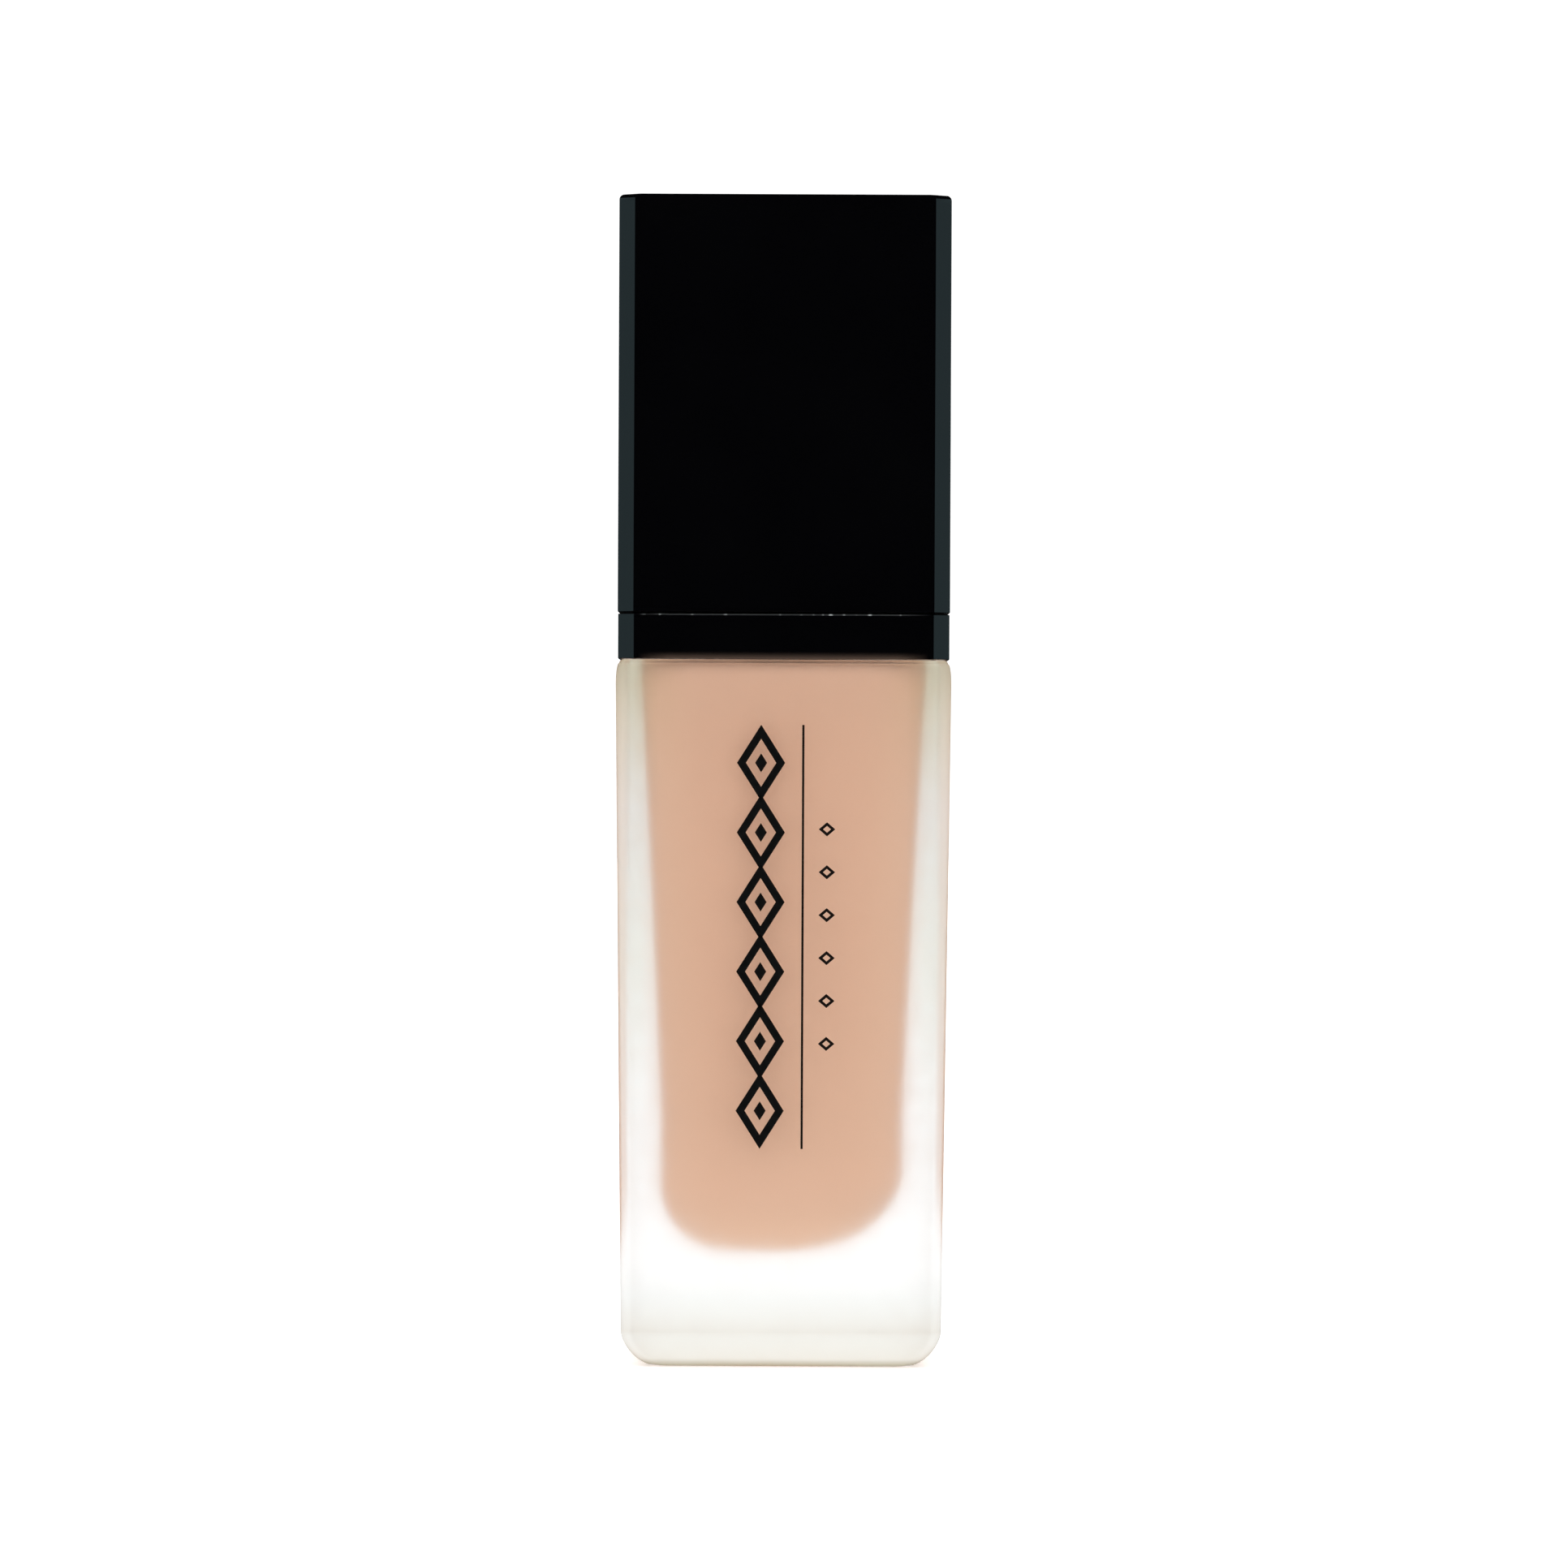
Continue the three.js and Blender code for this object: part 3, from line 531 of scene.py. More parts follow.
def spring_steel():
    """Bright drawn wire."""
    nodes = Nodes("spring_steel")
    nodes.mottle(1.0, (0.5, 0.51, 0.52), (0.66, 0.67, 0.68))
    nodes.set(Metallic=1.0)
    nodes.rough(6.0, 0.18, 0.34, stretch=(1, 1, 4))
    nodes.bump(8.0, 0.004, 0.4, stretch=(1, 1, 5))
    return nodes.material


def screen_ink():
    """Black screen-printing ink, a little uneven where the mesh laid it down."""
    nodes = Nodes("screen_ink")
    nodes.mottle(2.0, (0.002, 0.002, 0.002), (0.004, 0.004, 0.004))
    nodes.rough(3.0, 0.42, 0.6)
    nodes.bump(7.0, 0.003, 0.5)
    return nodes.material


def paper_floor():
    """Matt white sweep paper."""
    nodes = Nodes("sweep_paper")
    nodes.mottle(0.3, (0.9, 0.9, 0.9), (0.92, 0.92, 0.92))
    nodes.set(Specular_IOR_Level=0.1, Emission_Color=(1, 1, 1, 1), Emission_Strength=0.4)
    nodes.rough(0.5, 0.85, 0.95)
    return nodes.material


def dress(piece, body, slot, nodes, *materials):
    """Gives a piece its materials and body, and hides its CAD nodes; the slot is not used."""
    for material in materials:
        piece.data.materials.append(material)
    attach(piece, body)
    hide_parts(*nodes)
    return piece


# -------- levels from the CAD


def lowest(node):
    """A CAD node's lowest corner in millimetres."""
    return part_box(node)[0] / MM


def highest(node):
    """A CAD node's highest corner in millimetres."""
    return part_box(node)[1] / MM


SEAT = 0.05  # gap between neighbours that touch
RUN = 0.1  # gap between pieces that slide

NECK_TOP = highest("glass_bottle").z
SHOULDER = NECK_TOP - 15
BODY_HALF = highest("glass_bottle").x
CAP_HALF = highest("overcap_shell").x
CAP_BOTTOM = lowest("overcap_shell").z
CAP_TOP = highest("overcap_shell").z
LINER_HALF = highest("overcap_liner").x
LINER_BOTTOM = lowest("overcap_liner").z
LINER_TOP = highest("overcap_liner").z
COLLAR_HALF = highest("collar_shell").x
COLLAR_BOTTOM = SHOULDER + 0.06
COLLAR_TOP = highest("collar_shell").z
COLLAR_DECK = CAP_BOTTOM - 0.2
CORNER_CHAMFER = 1.6
CLOSURE_BOTTOM = lowest("screw_closure").z
CLOSURE_TOP = highest("screw_closure").z

GASKET_THICK = 1
GASKET_BOTTOM = NECK_TOP + SEAT
FLANGE_BOTTOM = GASKET_BOTTOM + GASKET_THICK + SEAT
FLANGE_TOP = FLANGE_BOTTOM + 1.2
UPSTAND_TOP = FLANGE_TOP + 2.6
UPSTAND_R = 4.7
BARREL_R = 4.6
BARREL_BORE = 3.5
TAIL_R = 3
TAIL_BOTTOM = 51.9
CONE_BOTTOM = 62
CONE_TOP = 64.6
SPRING_FLOOR = 65
BALL_R = 1.2
BALL_Z = 61.5
TUBE_R = 1.85
TUBE_TOP = 59.6
TUBE_TIP = 13.2

STEM_R = 1.9
STEM_BORE = 1
STEM_STOP = 83.2
STEM_TOP = 104
VALVE_HEAD = 78

HEAD_R = highest("actuator_shell").x
HEAD_WALL = 0.85
HEAD_BOTTOM = lowest("actuator_shell").z
HEAD_TOP = highest("actuator_shell").z
SPOUT_Z = HEAD_TOP - 5.4
SPOUT_REACH = -lowest("actuator_shell").y
HEAD_COLUMNS = 128
NOZZLE_R = 1.25


# -------- the materials in use

FROSTED = frosted_glass()
CLEAR = clear_glass()
CREAM = foundation()
GLOSS = gloss_black("gloss_black").material
COLLAR_GLOSS = collar_gloss().material
SATIN = satin_black()
NATURAL = natural_plastic()
WHITE = white_plastic("white_plastic", (0.8, 0.8, 0.77), (0.88, 0.88, 0.85), 0.3, 0.42)
SOFT_WHITE = white_plastic("piston_plastic", (0.74, 0.74, 0.7), (0.82, 0.82, 0.78), 0.5, 0.65)
FOAM = gasket_foam()
STEEL = spring_steel()
INK = screen_ink()


# -------- glass and fill

HEEL_HALF = BODY_HALF - 0.75
HEEL_IN = 3.2
HEEL_UP = 3.6
HEEL_POWER = 1.6  # 2 would be an ellipse
WALL_TOP = SHOULDER - 2.4
BODY_CORNER = 1.2
LAND_R = 15.0
LAND_TOP = SHOULDER + 0.9
NECK_R = 7.7
NECK_BORE = 5.2
THREAD_PITCH = 3.175
THREAD_CREST = 8.85
CAVITY_FLOOR = 11.3
CAVITY_TOP = SHOULDER - 0.4
CAVITY_CORNER = 6.0
CAVITY_FLOOR_HALF = 12.2
CAVITY_TOP_HALF = 14.4
CEILING_RADIUS = 0.8
FLOOR_RADIUS = 6.8
FLOOR_CURVE = 0.0165
STRAIGHT_FROM = CAVITY_FLOOR + 13
WETTED = 0.03  # how far the fill reaches into the glass, so that no air shows between


def body_half(z):
    """Half the outside's width at a height of the tapering wall."""
    share = (z - HEEL_UP) / (WALL_TOP - HEEL_UP)
    return HEEL_HALF + (BODY_HALF - HEEL_HALF) * share


def cavity_half(z):
    """Half the cavity's width, which grows from the floor's bowl to the ceiling."""
    share = max(0.0, (z - STRAIGHT_FROM) / (CAVITY_TOP - STRAIGHT_FROM))
    return CAVITY_FLOOR_HALF + (CAVITY_TOP_HALF - CAVITY_FLOOR_HALF) * share**1.1


def uneven(ring):
    """Raises the right-hand side of the cavity's floor, as the blown floor does."""
    ring = ring.copy()
    fade = np.clip((STRAIGHT_FROM - ring[:, 2]) / (STRAIGHT_FROM - CAVITY_FLOOR), 0, 1)
    to_right = np.clip(ring[:, 0] + 1, 0, None)
    ring[:, 2] += FLOOR_CURVE * to_right**2 * fade
    return ring


def cavity_rings(grow, top):
    """The cavity's wall from the pole of its floor up to its ceiling, swollen by grow."""
    radius = FLOOR_RADIUS + grow
    centre = (CAVITY_FLOOR_HALF - FLOOR_RADIUS, CAVITY_FLOOR + FLOOR_RADIUS)
    floor = [(share * centre[0], CAVITY_FLOOR - grow) for share in (0.35, 0.7)]
    bowl = arc(*centre, radius, 270, 360, 14)
    wall = [(cavity_half(z) + grow, z) for z in np.linspace(STRAIGHT_FROM, top - 1, 24)]
    side = cavity_half(top) + grow - CEILING_RADIUS
    ceiling = arc(side, top - CEILING_RADIUS, CEILING_RADIUS, 15, 90, 6)
    profile = floor + bowl + wall + ceiling
    rings = [rounded(half, CAVITY_CORNER, z) for half, z in profile]
    return [uneven(ring) for ring in [pole(CAVITY_FLOOR - grow)] + rings]


def glass_profile():
    """(half width, corner radius, z) of the outside, from the foot to the shoulder."""
    panel = [(3, 3, 0.95), (6.5, 3, 0.9), (9.4, 3.5, 0.75), (9.9, 3.5, 0.62), (10.2, 3.6, 0.35)]
    foot = [(10.45, 3.8, 0.06), (10.6, 3.9, 0.0)]
    heel = []
    for turn in np.linspace(0, math.pi / 2, 15):
        out = math.sin(turn) ** (2 / HEEL_POWER)
        up = 1 - math.cos(turn) ** (2 / HEEL_POWER)
        half = HEEL_HALF - HEEL_IN + HEEL_IN * out
        heel.append((half, BODY_CORNER + 0.6 * (1 - out), HEEL_UP * up))
    wall = []
    for share in np.linspace(0, 1, 13)[1:]:
        half = HEEL_HALF + (BODY_HALF - HEEL_HALF) * share
        wall.append((half, BODY_CORNER, HEEL_UP + (WALL_TOP - HEEL_UP) * share))
    shoulder = []
    for turn in np.linspace(0, math.pi / 2, 8)[1:-1]:
        half = BODY_HALF - 0.3 * (1 - math.cos(turn))
        shoulder.append((half, BODY_CORNER, WALL_TOP + 2.0 * math.sin(turn)))
    edge = [(r, BODY_CORNER, z) for r, z in arc(BODY_HALF - 0.75, SHOULDER - 0.42, 0.42, 8, 90, 6)]
    return panel + foot + heel + wall + shoulder + edge


def thread_ridge(root_r, crest_r, root_width, crest_width, start_z, turns):
    """A right-handed screw ridge whose ends sink to the wall."""
    sunk = 0.3  # how deep the ridge's root stands in the wall
    run_out = 0.2  # turns over which an end sinks
    lowest_end = 0.35
    start_angle = 0.026
    steps_a_turn = 72
    root = root_r - math.copysign(sunk, crest_r - root_r)
    rings = []
    for along in np.linspace(0, turns, int(turns * steps_a_turn) + 1):
        risen = min(1.0, along / run_out, (turns - along) / run_out)
        crest = root + (crest_r - root) * max(lowest_end, math.sin(risen * math.pi / 2))
        angle = along * 2 * math.pi + start_angle
        z = start_z + along * THREAD_PITCH
        section = [
            (root, -root_width / 2),
            (crest, -crest_width / 2),
            (crest, crest_width / 2),
            (root, root_width / 2),
        ]
        rings.append([(r * math.cos(angle), r * math.sin(angle), z + dz) for r, dz in section])
    return sweep("ridge", [np.array(ring) for ring in rings])


def glass_bottle():
    """The bottle as one skin: foot, walls, shoulder, neck, bore, and the cavity down to its floor."""
    panel_height = 0.95
    bevel = 0.3
    fillet = 0.8
    rim = 0.6
    mouth = 0.5
    outside = [rounded(*row) for row in glass_profile()]
    shape = outside[-1]
    neck = [(LAND_R, SHOULDER), (LAND_R, LAND_TOP - bevel), (LAND_R - bevel, LAND_TOP)]
    neck += arc(NECK_R + fillet, LAND_TOP + fillet, fillet, 270, 180, 6)
    neck += [(NECK_R, z) for z in np.linspace(LAND_TOP + 1.2, NECK_TOP - 0.7, 8)]
    neck += arc(NECK_R - rim, NECK_TOP - rim, rim, 0, 90, 6)
    neck += arc(NECK_BORE + mouth, NECK_TOP - mouth, mouth, 90, 180, 5)
    neck += [(NECK_BORE, z) for z in np.linspace(NECK_TOP - 1.2, CAVITY_TOP + mouth, 6)]
    neck += arc(NECK_BORE + mouth, CAVITY_TOP + mouth, mouth, 180, 270, 4)
    rings = [pole(panel_height)] + outside
    first_clear = len(rings)
    rings += [round_like(shape, radius, z) for radius, z in neck]
    made = loft("glass_bottle_fine", rings + cavity_rings(0, CAVITY_TOP)[::-1])
    for polygon in made.data.polygons:
        ring = (min(polygon.vertices) - 1) // len(shape)
        polygon.material_index = 1 if ring >= first_clear - 2 else 0
    ridge = thread_ridge(NECK_R, THREAD_CREST, 1.9, 0.7, NECK_TOP - 7.8, 1.75)
    dress(made, "bottle", "frosted_glass", ["glass_bottle"], FROSTED, CLEAR)
    ridge.data.materials.append(CLEAR)
    return boolean(made, [ridge], "UNION")


def foundation_fill():
    """The fill wets the glass and leaves a well for the pump's barrel and its tube."""
    outside = cavity_rings(WETTED, CAVITY_TOP + WETTED)
    bottom = TUBE_TIP - 0.9
    room = 0.4
    well = [
        (BARREL_R + room, CAVITY_TOP),
        (BARREL_R + room, CONE_TOP - room),
        (TAIL_R + room, CONE_BOTTOM - room),
        (TAIL_R + room, TAIL_BOTTOM - room),
        (TUBE_R + room, TAIL_BOTTOM - room),
        (TUBE_R + room, bottom),
    ]
    rings = outside + [round_like(outside[-1], r, z) for r, z in well]
    made = loft("foundation_fill_fine", rings + [pole(bottom)])
    made.data.set_sharp_from_angle(angle=math.radians(40))
    return dress(made, "bottle", "foundation", ["foundation_fill"], CREAM)


# -------- collar and overcap


def collar_shell():
    """A shallow square tray, open underneath, with a round sleeve round the closure."""
    half = COLLAR_HALF
    chamfer = CORNER_CHAMFER
    inside = half - 1.3
    inside_chamfer = 1
    deck = COLLAR_DECK
    under_deck = deck - 1.2
    top = COLLAR_TOP
    under_top = top - 1.1
    sleeve = 12.1
    bore = 10.9
    hole = 7.6
    foot = LAND_TOP + 0.1
    fillet = 0.5
    rim = 0.7
    bead = 0.5
    bead_z = top - 4.5
    shape = chamfered(half, chamfer, 0)
    outside = [
        chamfered(inside, inside_chamfer, COLLAR_BOTTOM),
        chamfered(half, chamfer, COLLAR_BOTTOM),
        chamfered(half, chamfer, deck),
    ]
    turned = [
        (sleeve + fillet, deck),
        *arc(sleeve + fillet, deck + fillet, fillet, 265, 180, 4),
        (sleeve, bead_z - 0.4),
        *arc(sleeve - 0.3, bead_z, bead, -37, 37, 6),
        (sleeve, bead_z + 0.4),
        (sleeve, top - rim),
        *arc(sleeve - rim, top - rim, rim, 10, 90, 6),
        (hole, top),
        (hole, under_top),
        (bore, under_top),
        (bore, foot),
        (sleeve, foot),
        (sleeve, under_deck),
    ]
    rings = outside + [round_like(shape, r, z) for r, z in turned]
    rings.append(chamfered(inside, inside_chamfer, under_deck))
    made = loft("collar_shell_fine", rings, closed=True)
    ribs = [box_mm(1, 8.6, foot, deck - 1, -16, math.pi * (0.25 + i / 2)) for i in range(4)]
    boolean(made, ribs, "UNION")
    soften(made, 0.07)
    return dress(made, "closure", "gloss_black", ["collar_shell"], COLLAR_GLOSS)


def overcap_shell():
    """The tall outer cap, open underneath."""
    half = CAP_HALF
    edge = 0.55
    inner = half - 1.4
    inner_chamfer = 0.8
    ceiling = CAP_TOP - 1.8
    rings = [
        chamfered(inner, inner_chamfer, CAP_BOTTOM),
        chamfered(half, CORNER_CHAMFER, CAP_BOTTOM),
        chamfered(half, CORNER_CHAMFER, CAP_TOP - edge - 0.3),
    ]
    for reach, z in arc(half - edge, CAP_TOP - edge, edge, 0, 90, 7):
        rings.append(chamfered(reach, CORNER_CHAMFER, z))
    rings.append(pole(CAP_TOP))
    rings.append(pole(ceiling))
    rings.append(chamfered(inner, inner_chamfer, ceiling))
    split = next(i for i, ring in enumerate(rings) if len(ring) == 1)
    made = loft("overcap_shell_fine", rings[split + 1 :] + rings[: split + 1])
    soften(made, 0.06)
    return dress(made, "overcap", "gloss_black", ["overcap_shell"], GLOSS)


def overcap_liner():
    """The round inner cup, its square foot and the ribs that centre it in the shell."""
    bore = 12.75
    outer = bore + 0.85
    top = HEAD_TOP + 1.9
    ceiling = top - 1
    bottom = LINER_BOTTOM
    fillet = 0.5
    rim = 0.6
    bead = 0.5
    bead_z = COLLAR_TOP - 5.6
    foot_chamfer = 0.9
    foot_top = bottom + 1.2
    diagonal_reach = 20.2
    cup = lathe(
        "overcap_liner_fine",
        [
            (0, ceiling),
            (bore - fillet, ceiling),
            *arc(bore - fillet, top - 1.5, fillet, 75, 0, 3),
            (bore, bead_z + 0.4),
            *arc(bore + 0.2, bead_z, bead, 143, 217, 5),
            (bore, bead_z - 0.4),
            (bore, bottom + 0.5),
            (bore + 0.4, bottom),
            (outer, bottom),
            (outer, top - rim),
            *arc(outer - rim, top - rim, rim, 15, 90, 4),
            (0, top),
        ],
    )
    shape = chamfered(LINER_HALF, foot_chamfer, 0)
    foot = loft(
        "liner_foot",
        [
            round_like(shape, bore + 0.7, bottom),
            chamfered(LINER_HALF, foot_chamfer, bottom),
            chamfered(LINER_HALF, foot_chamfer, foot_top),
            round_like(shape, bore + 0.7, foot_top),
        ],
        closed=True,
    )
    tools = [foot]
    for i in range(8):
        reach = diagonal_reach if i % 2 else LINER_HALF
        length = reach - outer + 0.3
        middle = reach - length / 2
        tools.append(box_mm(0.9, length, bottom + 0.6, LINER_TOP, -middle, i * math.pi / 4))
    boolean(cup, tools, "UNION")
    soften(cup, 0.08, segments=2)
    return dress(cup, "overcap", "satin_black", ["overcap_liner"], SATIN)


# -------- closure and pump


def screw_closure():
    """The round closure: splines outside for the collar to grip, and a thread ridge inside."""
    bore = 9.15
    radius = 10.3
    hole = 6.2
    spline = 0.4
    bottom = CLOSURE_BOTTOM
    ceiling = FLANGE_TOP + SEAT
    columns = 192
    raised = np.isin(np.arange(columns) % 8, (3, 4, 5))
    profile = [  # radius, z and how far the splines stand out
        (bore + 0.35, bottom, 0),
        (radius, bottom, 0),
        (radius, bottom + 0.5, 0),
        (radius, bottom + 0.8, spline),
        (radius, CLOSURE_TOP - 1.3, spline),
        (radius, CLOSURE_TOP - 1, 0),
        (radius, CLOSURE_TOP - 0.4, 0),
        (radius - 0.4, CLOSURE_TOP, 0),
        (hole, CLOSURE_TOP, 0),
        (hole, ceiling, 0),
        (bore, ceiling, 0),
        (bore, bottom + 0.35, 0),
    ]
    rings = []
    for r, z, proud in profile:
        grown = circle(1, 0, columns) * (r + proud * raised)[:, None]
        grown[:, 2] = z
        rings.append(grown)
    made = loft("screw_closure_fine", rings, closed=True)
    ridge = thread_ridge(bore, NECK_R + 0.25, 1.3, 0.6, NECK_TOP - 9.15, 1.5)
    boolean(made, [ridge], "UNION")
    return dress(made, "closure", "satin_black", ["screw_closure"], SATIN)


def turned_piece(name, body, slot, node, material, profile, width=0.08):
    """A turned piece with softened edges."""
    made = soften(lathe(name, profile), width, segments=2)
    return dress(made, body, slot, [node], material)


def neck_gasket():
    """The soft ring between the glass's rim and the pump's flange."""
    inner = NECK_BORE + 0.4
    top = GASKET_BOTTOM + GASKET_THICK
    profile = [(inner, GASKET_BOTTOM), (NECK_R, GASKET_BOTTOM), (NECK_R, top), (inner, top)]
    turned_piece("neck_gasket_fine", "pump", "gasket_foam", "neck_gasket", FOAM, profile, 0.2)


def pump_housing():
    """The barrel, with the ball's seat, the dip tube's socket and a vent hole in its side."""
    throat = BALL_R - 0.15
    chamber = BALL_R + 0.6
    seat = 0.9
    socket = TUBE_R + RUN
    made = lathe(
        "pump_housing_fine",
        [
            (socket, TAIL_BOTTOM),
            (TAIL_R, TAIL_BOTTOM),
            (TAIL_R, CONE_BOTTOM),
            (BARREL_R, CONE_TOP),
            (BARREL_R, FLANGE_BOTTOM),
            (NECK_R, FLANGE_BOTTOM),
            (NECK_R, FLANGE_TOP),
            (UPSTAND_R, FLANGE_TOP),
            (UPSTAND_R, UPSTAND_TOP),
            (BARREL_BORE, UPSTAND_TOP),
            (BARREL_BORE, SPRING_FLOOR),
            (throat, SPRING_FLOOR),
            (throat, BALL_Z + 2.4),
            (chamber, BALL_Z + 1.9),
            (chamber, BALL_Z + 0.4),
            (seat, BALL_Z - 0.9),
            (seat, TUBE_TOP + SEAT),
            (socket, TUBE_TOP + SEAT),
        ],
    )
    vent = cross_rod(0.4, 2, 6, STEM_STOP - 0.8, columns=24)
    boolean(made, [vent], "DIFFERENCE")
    soften(made, 0.06, segments=2)
    return dress(made, "pump", "clear_plastic", ["pump_housing"], NATURAL)


def housing_cap():
    """The barrel's snap-on cap, which guides the stem and stops it at the top."""
    bore = STEM_R + RUN
    plug = BARREL_BORE - 0.15
    skirt = UPSTAND_R + 0.1
    top = UPSTAND_TOP + 3.9
    rim = 0.3
    profile = [
        (bore, STEM_STOP + RUN),
        (plug, STEM_STOP + RUN),
        (plug, UPSTAND_TOP + SEAT),
        (skirt, UPSTAND_TOP + SEAT),
        (skirt, FLANGE_TOP + SEAT),
        (5.7, FLANGE_TOP + SEAT),
        (5.75, UPSTAND_TOP + 0.9),
        *arc(5.45, UPSTAND_TOP + 0.9, rim, 15, 90, 4),
        *arc(4.1, UPSTAND_TOP + 1.5, rim, 270, 185, 4),
        (3.6, top - rim),
        *arc(3.3, top - rim, rim, 15, 90, 4),
        (bore, top),
    ]
    turned_piece("housing_cap_fine", "pump", "satin_black", "housing_cap", SATIN, profile, 0.05)


def pump_stem():
    """A hollow stem with two ports behind the piston."""
    bottom = VALVE_HEAD + SEAT
    flange = 3
    profile = [
        (STEM_BORE, bottom),
        (STEM_R, bottom),
        (STEM_R, STEM_STOP - 1),
        (flange, STEM_STOP - 1),
        (flange, STEM_STOP),
        (STEM_R, STEM_STOP),
        (STEM_R, STEM_TOP - 0.3),
        (STEM_R - 0.3, STEM_TOP),
        (STEM_BORE, STEM_TOP),
    ]
    made = lathe("pump_stem_fine", profile)
    ports = cross_rod(0.45, -3, 3, VALVE_HEAD + 1.9, columns=24)
    boolean(made, [ports], "DIFFERENCE")
    soften(made, 0.05, segments=2)
    return dress(made, "stem", "white_plastic", ["pump_stem"], WHITE)


def valve_pin():
    """The pin under the stem: a plug, the valve's head and a guide for the spring."""
    plug = 0.9
    guide = 1.5
    foot = VALVE_HEAD - 7.5
    profile = [
        (0, foot),
        (guide - 0.5, foot),
        (guide, foot + 0.5),
        (guide, VALVE_HEAD - 1),
        (2.7, VALVE_HEAD - 1),
        (2.8, VALVE_HEAD - 0.4),
        (2.5, VALVE_HEAD),
        (plug, VALVE_HEAD),
        (plug, VALVE_HEAD + 1.2),
        (0, VALVE_HEAD + 1.2),
    ]
    turned_piece("valve_pin_fine", "stem", "white_plastic", "valve_pin", WHITE, profile)


def piston():
    """A sleeve on the stem with a lip at each end that wipes the barrel."""
    bottom = VALVE_HEAD + SEAT
    top = bottom + 3.3
    lip = BARREL_BORE - 0.08
    waist = 2.9
    recess = 2.35
    profile = [
        (recess, bottom),
        (waist, bottom),
        (lip, bottom + 0.1),
        (lip, bottom + 0.5),
        (waist, bottom + 1),
        (waist, top - 1),
        (lip, top - 0.5),
        (lip, top - 0.1),
        (waist, top),
        (STEM_R + RUN, top),
        (STEM_R + RUN, top - 1),
        (recess, top - 1.3),
    ]
    turned_piece("piston_fine", "piston", "piston_plastic", "piston", SOFT_WHITE, profile, 0.05)


def return_spring():
    """Round wire with a closed coil at each end, built at one length."""
    radius = 2.45
    wire = 0.27
    coils = 8.5
    bottom = SPRING_FLOOR + SEAT
    top = VALVE_HEAD - 1 - SEAT
    closed_rise = wire * 2.1
    open_rise = top - bottom - 2 * wire - 2 * closed_rise
    turn = np.linspace(0, coils, int(coils * 40) + 1)
    ends = np.minimum(turn, 1) + np.maximum(0, turn - coils + 1)
    opened = np.clip((turn - 1) / (coils - 2), 0, 1)
    height = bottom + wire + closed_rise * ends + open_rise * opened
    round_wire = np.linspace(0, 2 * math.pi, 12, endpoint=False)
    rings = []
    for angle, z in zip(turn * 2 * math.pi, height):
        reach = radius + wire * np.cos(round_wire)
        sides = (reach * math.cos(angle), reach * math.sin(angle), z + wire * np.sin(round_wire))
        rings.append(np.column_stack(sides))
    made = sweep("return_spring_fine", rings)
    made.data.set_sharp_from_angle(angle=math.radians(50))
    dress(made, "pump", "spring_steel", ["return_spring"], STEEL)
    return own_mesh(made)


def inlet_ball():
    """The steel ball of the inlet valve."""
    profile = [(0, BALL_Z - BALL_R), *arc(0, BALL_Z, BALL_R, -80, 80, 16), (0, BALL_Z + BALL_R)]
    made = lathe("inlet_ball_fine", profile, 48)
    return dress(made, "valve_ball", "spring_steel", ["inlet_ball"], STEEL)


def dip_tube():
    """The tube's lower end is cut at a slant, so that it can't seal itself against the floor."""
    bore = 1.2
    profile = [(bore, TUBE_TIP), (TUBE_R, TUBE_TIP), (TUBE_R, TUBE_TOP), (bore, TUBE_TOP)]
    made = lathe("dip_tube_fine", profile)
    slant = box_mm(8, 8, -4, 0)
    slant.data.transform(Matrix.Rotation(math.radians(35), 4, "X"))
    slant.data.transform(Matrix.Translation((0, 0, (TUBE_TIP + 1.2) * MM)))
    boolean(made, [slant], "DIFFERENCE")
    soften(made, 0.05, segments=2)
    return dress(made, "pump", "clear_plastic", ["dip_tube"], NATURAL)


# -------- pump head


def actuator_shell():
    """The outer button: a cup with a shallow finger dish and a short spout at the front."""
    inner = HEAD_R - HEAD_WALL
    ceiling = HEAD_TOP - 1.7
    rim = 0.9
    mouth = -SPOUT_REACH
    made = lathe(
        "actuator_shell_fine",
        [
            (0, ceiling),
            (inner, ceiling),
            (inner, HEAD_BOTTOM),
            (HEAD_R - 0.2, HEAD_BOTTOM),
            (HEAD_R, HEAD_BOTTOM + 0.2),
            (HEAD_R, HEAD_TOP - 1.1),
            *arc(HEAD_R - rim, HEAD_TOP - rim, rim, 5, 90, 8),
            (5.7, HEAD_TOP - 0.04),
            (5.2, HEAD_TOP - 0.16),
            (4.2, HEAD_TOP - 0.38),
            (3, HEAD_TOP - 0.58),
            (1.5, HEAD_TOP - 0.71),
            (0, HEAD_TOP - 0.75),
        ],
        HEAD_COLUMNS,
    )
    spout = cross_rod(2.6, -5.6, mouth, SPOUT_Z, far_radius=2.3)
    boolean(made, [spout], "UNION")
    tools = [
        rod(inner, HEAD_BOTTOM - 1, ceiling, HEAD_COLUMNS),
        cross_rod(NOZZLE_R + RUN, -4, mouth - 1, SPOUT_Z),
        cross_rod(1.85, mouth + 2.3, mouth - 1, SPOUT_Z),
    ]
    boolean(made, tools, "DIFFERENCE")
    soften(made, 0.1)
    return dress(made, "pump_head", "gloss_black", ["actuator_shell"], GLOSS)


